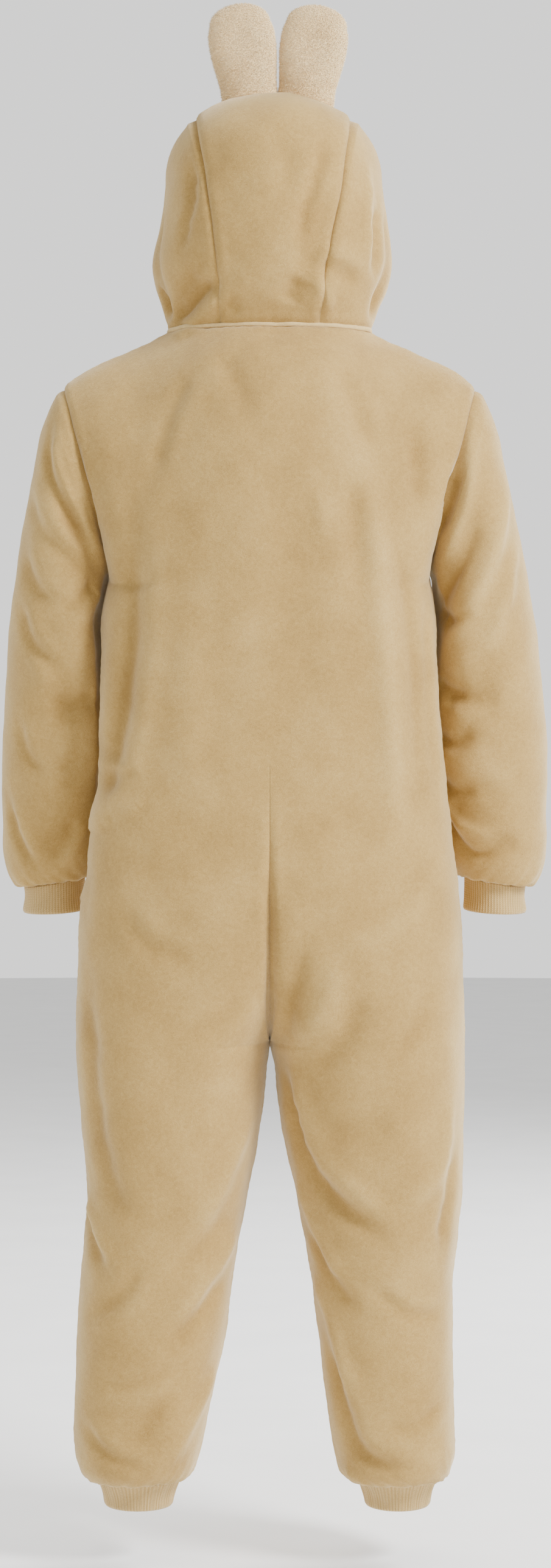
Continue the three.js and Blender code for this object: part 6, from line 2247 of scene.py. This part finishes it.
class Welt:
    """The raised welt that covers the neck seam."""

    END_SHARE = 0.008
    STEPS = 260
    STAND = 3.1
    RISE = 0.5
    HALF_WIDE = 3.2
    HALF_HIGH = 2.1

    def __init__(self, cloth: Cloth) -> None:
        """Keeps the cloth whose seam it follows."""
        self.cloth = cloth

    def neck(self, material: bpy.types.Material) -> bpy.types.Object:
        """The welt round the neck seam, from one side of the zip to the other."""
        columns = panel_columns()
        neck = int(np.sum(columns <= NECK_UNITS))
        parts = []
        for name, order in (
            ("front_left", slice(0, neck)), ("back_left", slice(neck - 1, None, -1)),
            ("back_right", slice(0, neck)), ("front_right", slice(neck - 1, None, -1)),
        ):
            parts.append(self.cloth.line(name, 0, order))
        points = np.concatenate([points if k == 0 else points[1:] for k, (points, _) in enumerate(parts)])
        facing = np.concatenate([facing if k == 0 else facing[1:] for k, (_, facing) in enumerate(parts)])
        shares = np.linspace(self.END_SHARE, 1 - self.END_SHARE, self.STEPS)
        run = running_length(points) / running_length(points)[-1]
        smooth_facing = unit(np.stack([np.interp(shares, run, facing[:, k]) for k in range(3)], axis=-1))
        step = np.arange(self.STEPS)
        wave = 0.35 * np.sin(step / 3.1) + 0.25 * np.sin(step / 1.7 + 1)
        line = along_line(points, shares) + smooth_facing * (self.STAND + wave)[:, None]
        line[:, 2] += self.RISE
        made = tube("neck_welt", line, smooth_facing, self.HALF_WIDE, self.HALF_HIGH, material)
        return garment_piece(made, "fleece")


class Studio:
    """The pale floor, the soft lights and the camera."""

    FLOOR_Z = -1.49
    CAMERA = (-0.007, 4.0, -0.55)
    LENS = 75.5
    ROOM = 0.14
    SKY = 1.5
    WALL = 1.35

    def make(self, floor: bpy.types.Material) -> None:
        """Sets the studio up.

        Args:
            floor: the floor's finish.
        """
        self._floor(floor)
        self._light("key_light", (-2.8, 2.1, 1.9), 1.6, 310.0)
        self._light("fill_light", (2.6, 2.9, 0.2), 2.4, 20.0)
        self._light("rim_light", (3.1, -0.8, 0.3), 1.6, 40.0)
        self._light("front_light", (-2.3, -2.8, 1.4), 2.0, 240.0)
        self._world()
        data = bpy.data.cameras.new("camera")
        data.lens = self.LENS
        data.sensor_width = 36.0
        data.clip_end = 60.0
        camera = bpy.data.objects.new("camera", data)
        camera.location = self.CAMERA
        camera.rotation_euler = Euler((math.pi / 2, 0.0, math.pi))
        bpy.context.scene.collection.objects.link(camera)
        bpy.context.scene.camera = camera

    def _world(self) -> None:
        """A dim room under a soft white ceiling, which looks even behind the garment."""
        world = bpy.data.worlds.new("studio")
        bpy.context.scene.world = world
        world.use_nodes = True
        recipe = Recipe(world.node_tree)
        room = world.node_tree.nodes["Background"]
        room.inputs["Color"].default_value = (1.0, 0.995, 0.985, 1.0)
        sky = recipe.node("ShaderNodeTexCoord").outputs["Generated"]
        aim = recipe.node("ShaderNodeSeparateXYZ", None, {0: sky})
        up = recipe.value(aim.outputs["Z"]).clipped()
        lit = up * up * self.SKY + self.ROOM
        seen = recipe.value(recipe.node("ShaderNodeLightPath").outputs["Is Camera Ray"])
        recipe.join(seen * (self.WALL - lit) + lit, room.inputs["Strength"])

    def _floor(self, material: bpy.types.Material) -> None:
        """A round, pale floor under the garment."""
        corners = 96
        rings = (0.6, 1.5, 3.5, 12.0)
        angle = 2 * math.pi * np.arange(corners) / corners
        points = [(0.0, 0.0, self.FLOOR_Z / MM)]
        for radius in rings:
            reach = radius / MM
            points += [(reach * math.cos(a), reach * math.sin(a), self.FLOOR_Z / MM) for a in angle]
        sides = [(k, (k + 1) % corners) for k in range(corners)]
        faces: list[list[int]] = [[0, 1 + k, 1 + after] for k, after in sides]
        for row in range(len(rings) - 1):
            low, high = 1 + row * corners, 1 + (row + 1) * corners
            faces += [[low + k, high + k, high + after, low + after] for k, after in sides]
        mesh_object("floor", np.array(points), faces, material)

    @staticmethod
    def _light(name: str, place: tuple[float, float, float], size: float, power: float) -> None:
        """One large soft light that faces the garment's middle."""
        data = bpy.data.lights.new(name, "AREA")
        data.shape = "DISK"
        data.size = size
        data.energy = power
        made = bpy.data.objects.new(name, data)
        made.location = place
        aim = Vector((0.0, 0.0, -0.55)) - Vector(place)
        made.rotation_euler = aim.to_track_quat("-Z", "Y").to_euler()
        bpy.context.scene.collection.objects.link(made)


def main() -> None:
    """Builds the garment's pieces in order, dresses them and sets up the studio."""
    # The body fleece paints shade into fold troughs and highlight onto fold ridges.
    fleece = PlushFleece(worn=0.1).material("fleece_finish")
    # A paler copy of the body fleece: on the neck welt, which is the same fleece, it is a painted highlight
    # of the raised welt; the topstitching thread takes it as its colour.
    welt_highlight_and_thread = PlushFleece(light=(226, 200, 146), middle=(214, 186, 130), dark=(190, 160, 104))
    welt_highlight_and_thread = welt_highlight_and_thread.material("welt_finish")
    long_pile = {"tuft": 600.0, "patch": 160.0, "sway": 30.0}
    plush = PlushFleece(light=(250, 226, 176), middle=(244, 214, 160), dark=(224, 188, 130), **long_pile)
    plush = plush.material("ear_plush_finish")
    pile = PlushFleece(
        light=(255, 239, 204), middle=(252, 230, 190), dark=(238, 210, 164), sheen=0.6, **long_pile,
    )
    pile = pile.material("ear_pile_finish")
    knit = RibKnit().material("rib_knit_finish")
    tape = WovenTape().material("zip_tape_finish")
    nylon = NylonTeeth().material("zip_coil_finish")
    metal = SatinMetal().material("zip_metal_finish")

    cloth = Cloth()
    cloth.settle()
    cloth.make(fleece)
    Cuffs(cloth).make(knit)
    log.info("cuffs made")
    Ears().make(cloth, plush, pile)
    log.info("ears made")
    Welt(cloth).neck(welt_highlight_and_thread)
    Zip(cloth).make(tape, nylon, metal, welt_highlight_and_thread)
    log.info("zip made")
    for node in ("zip_slider", "zip_pull"):
        solid = frame["nodes"][node]
        solid.data.materials.clear()
        solid.data.materials.append(metal)
    Studio().make(PaleFloor().material("floor_finish"))


if __name__ == "__main__":
    logging.basicConfig(level=logging.INFO, format="%(message)s")
    main()
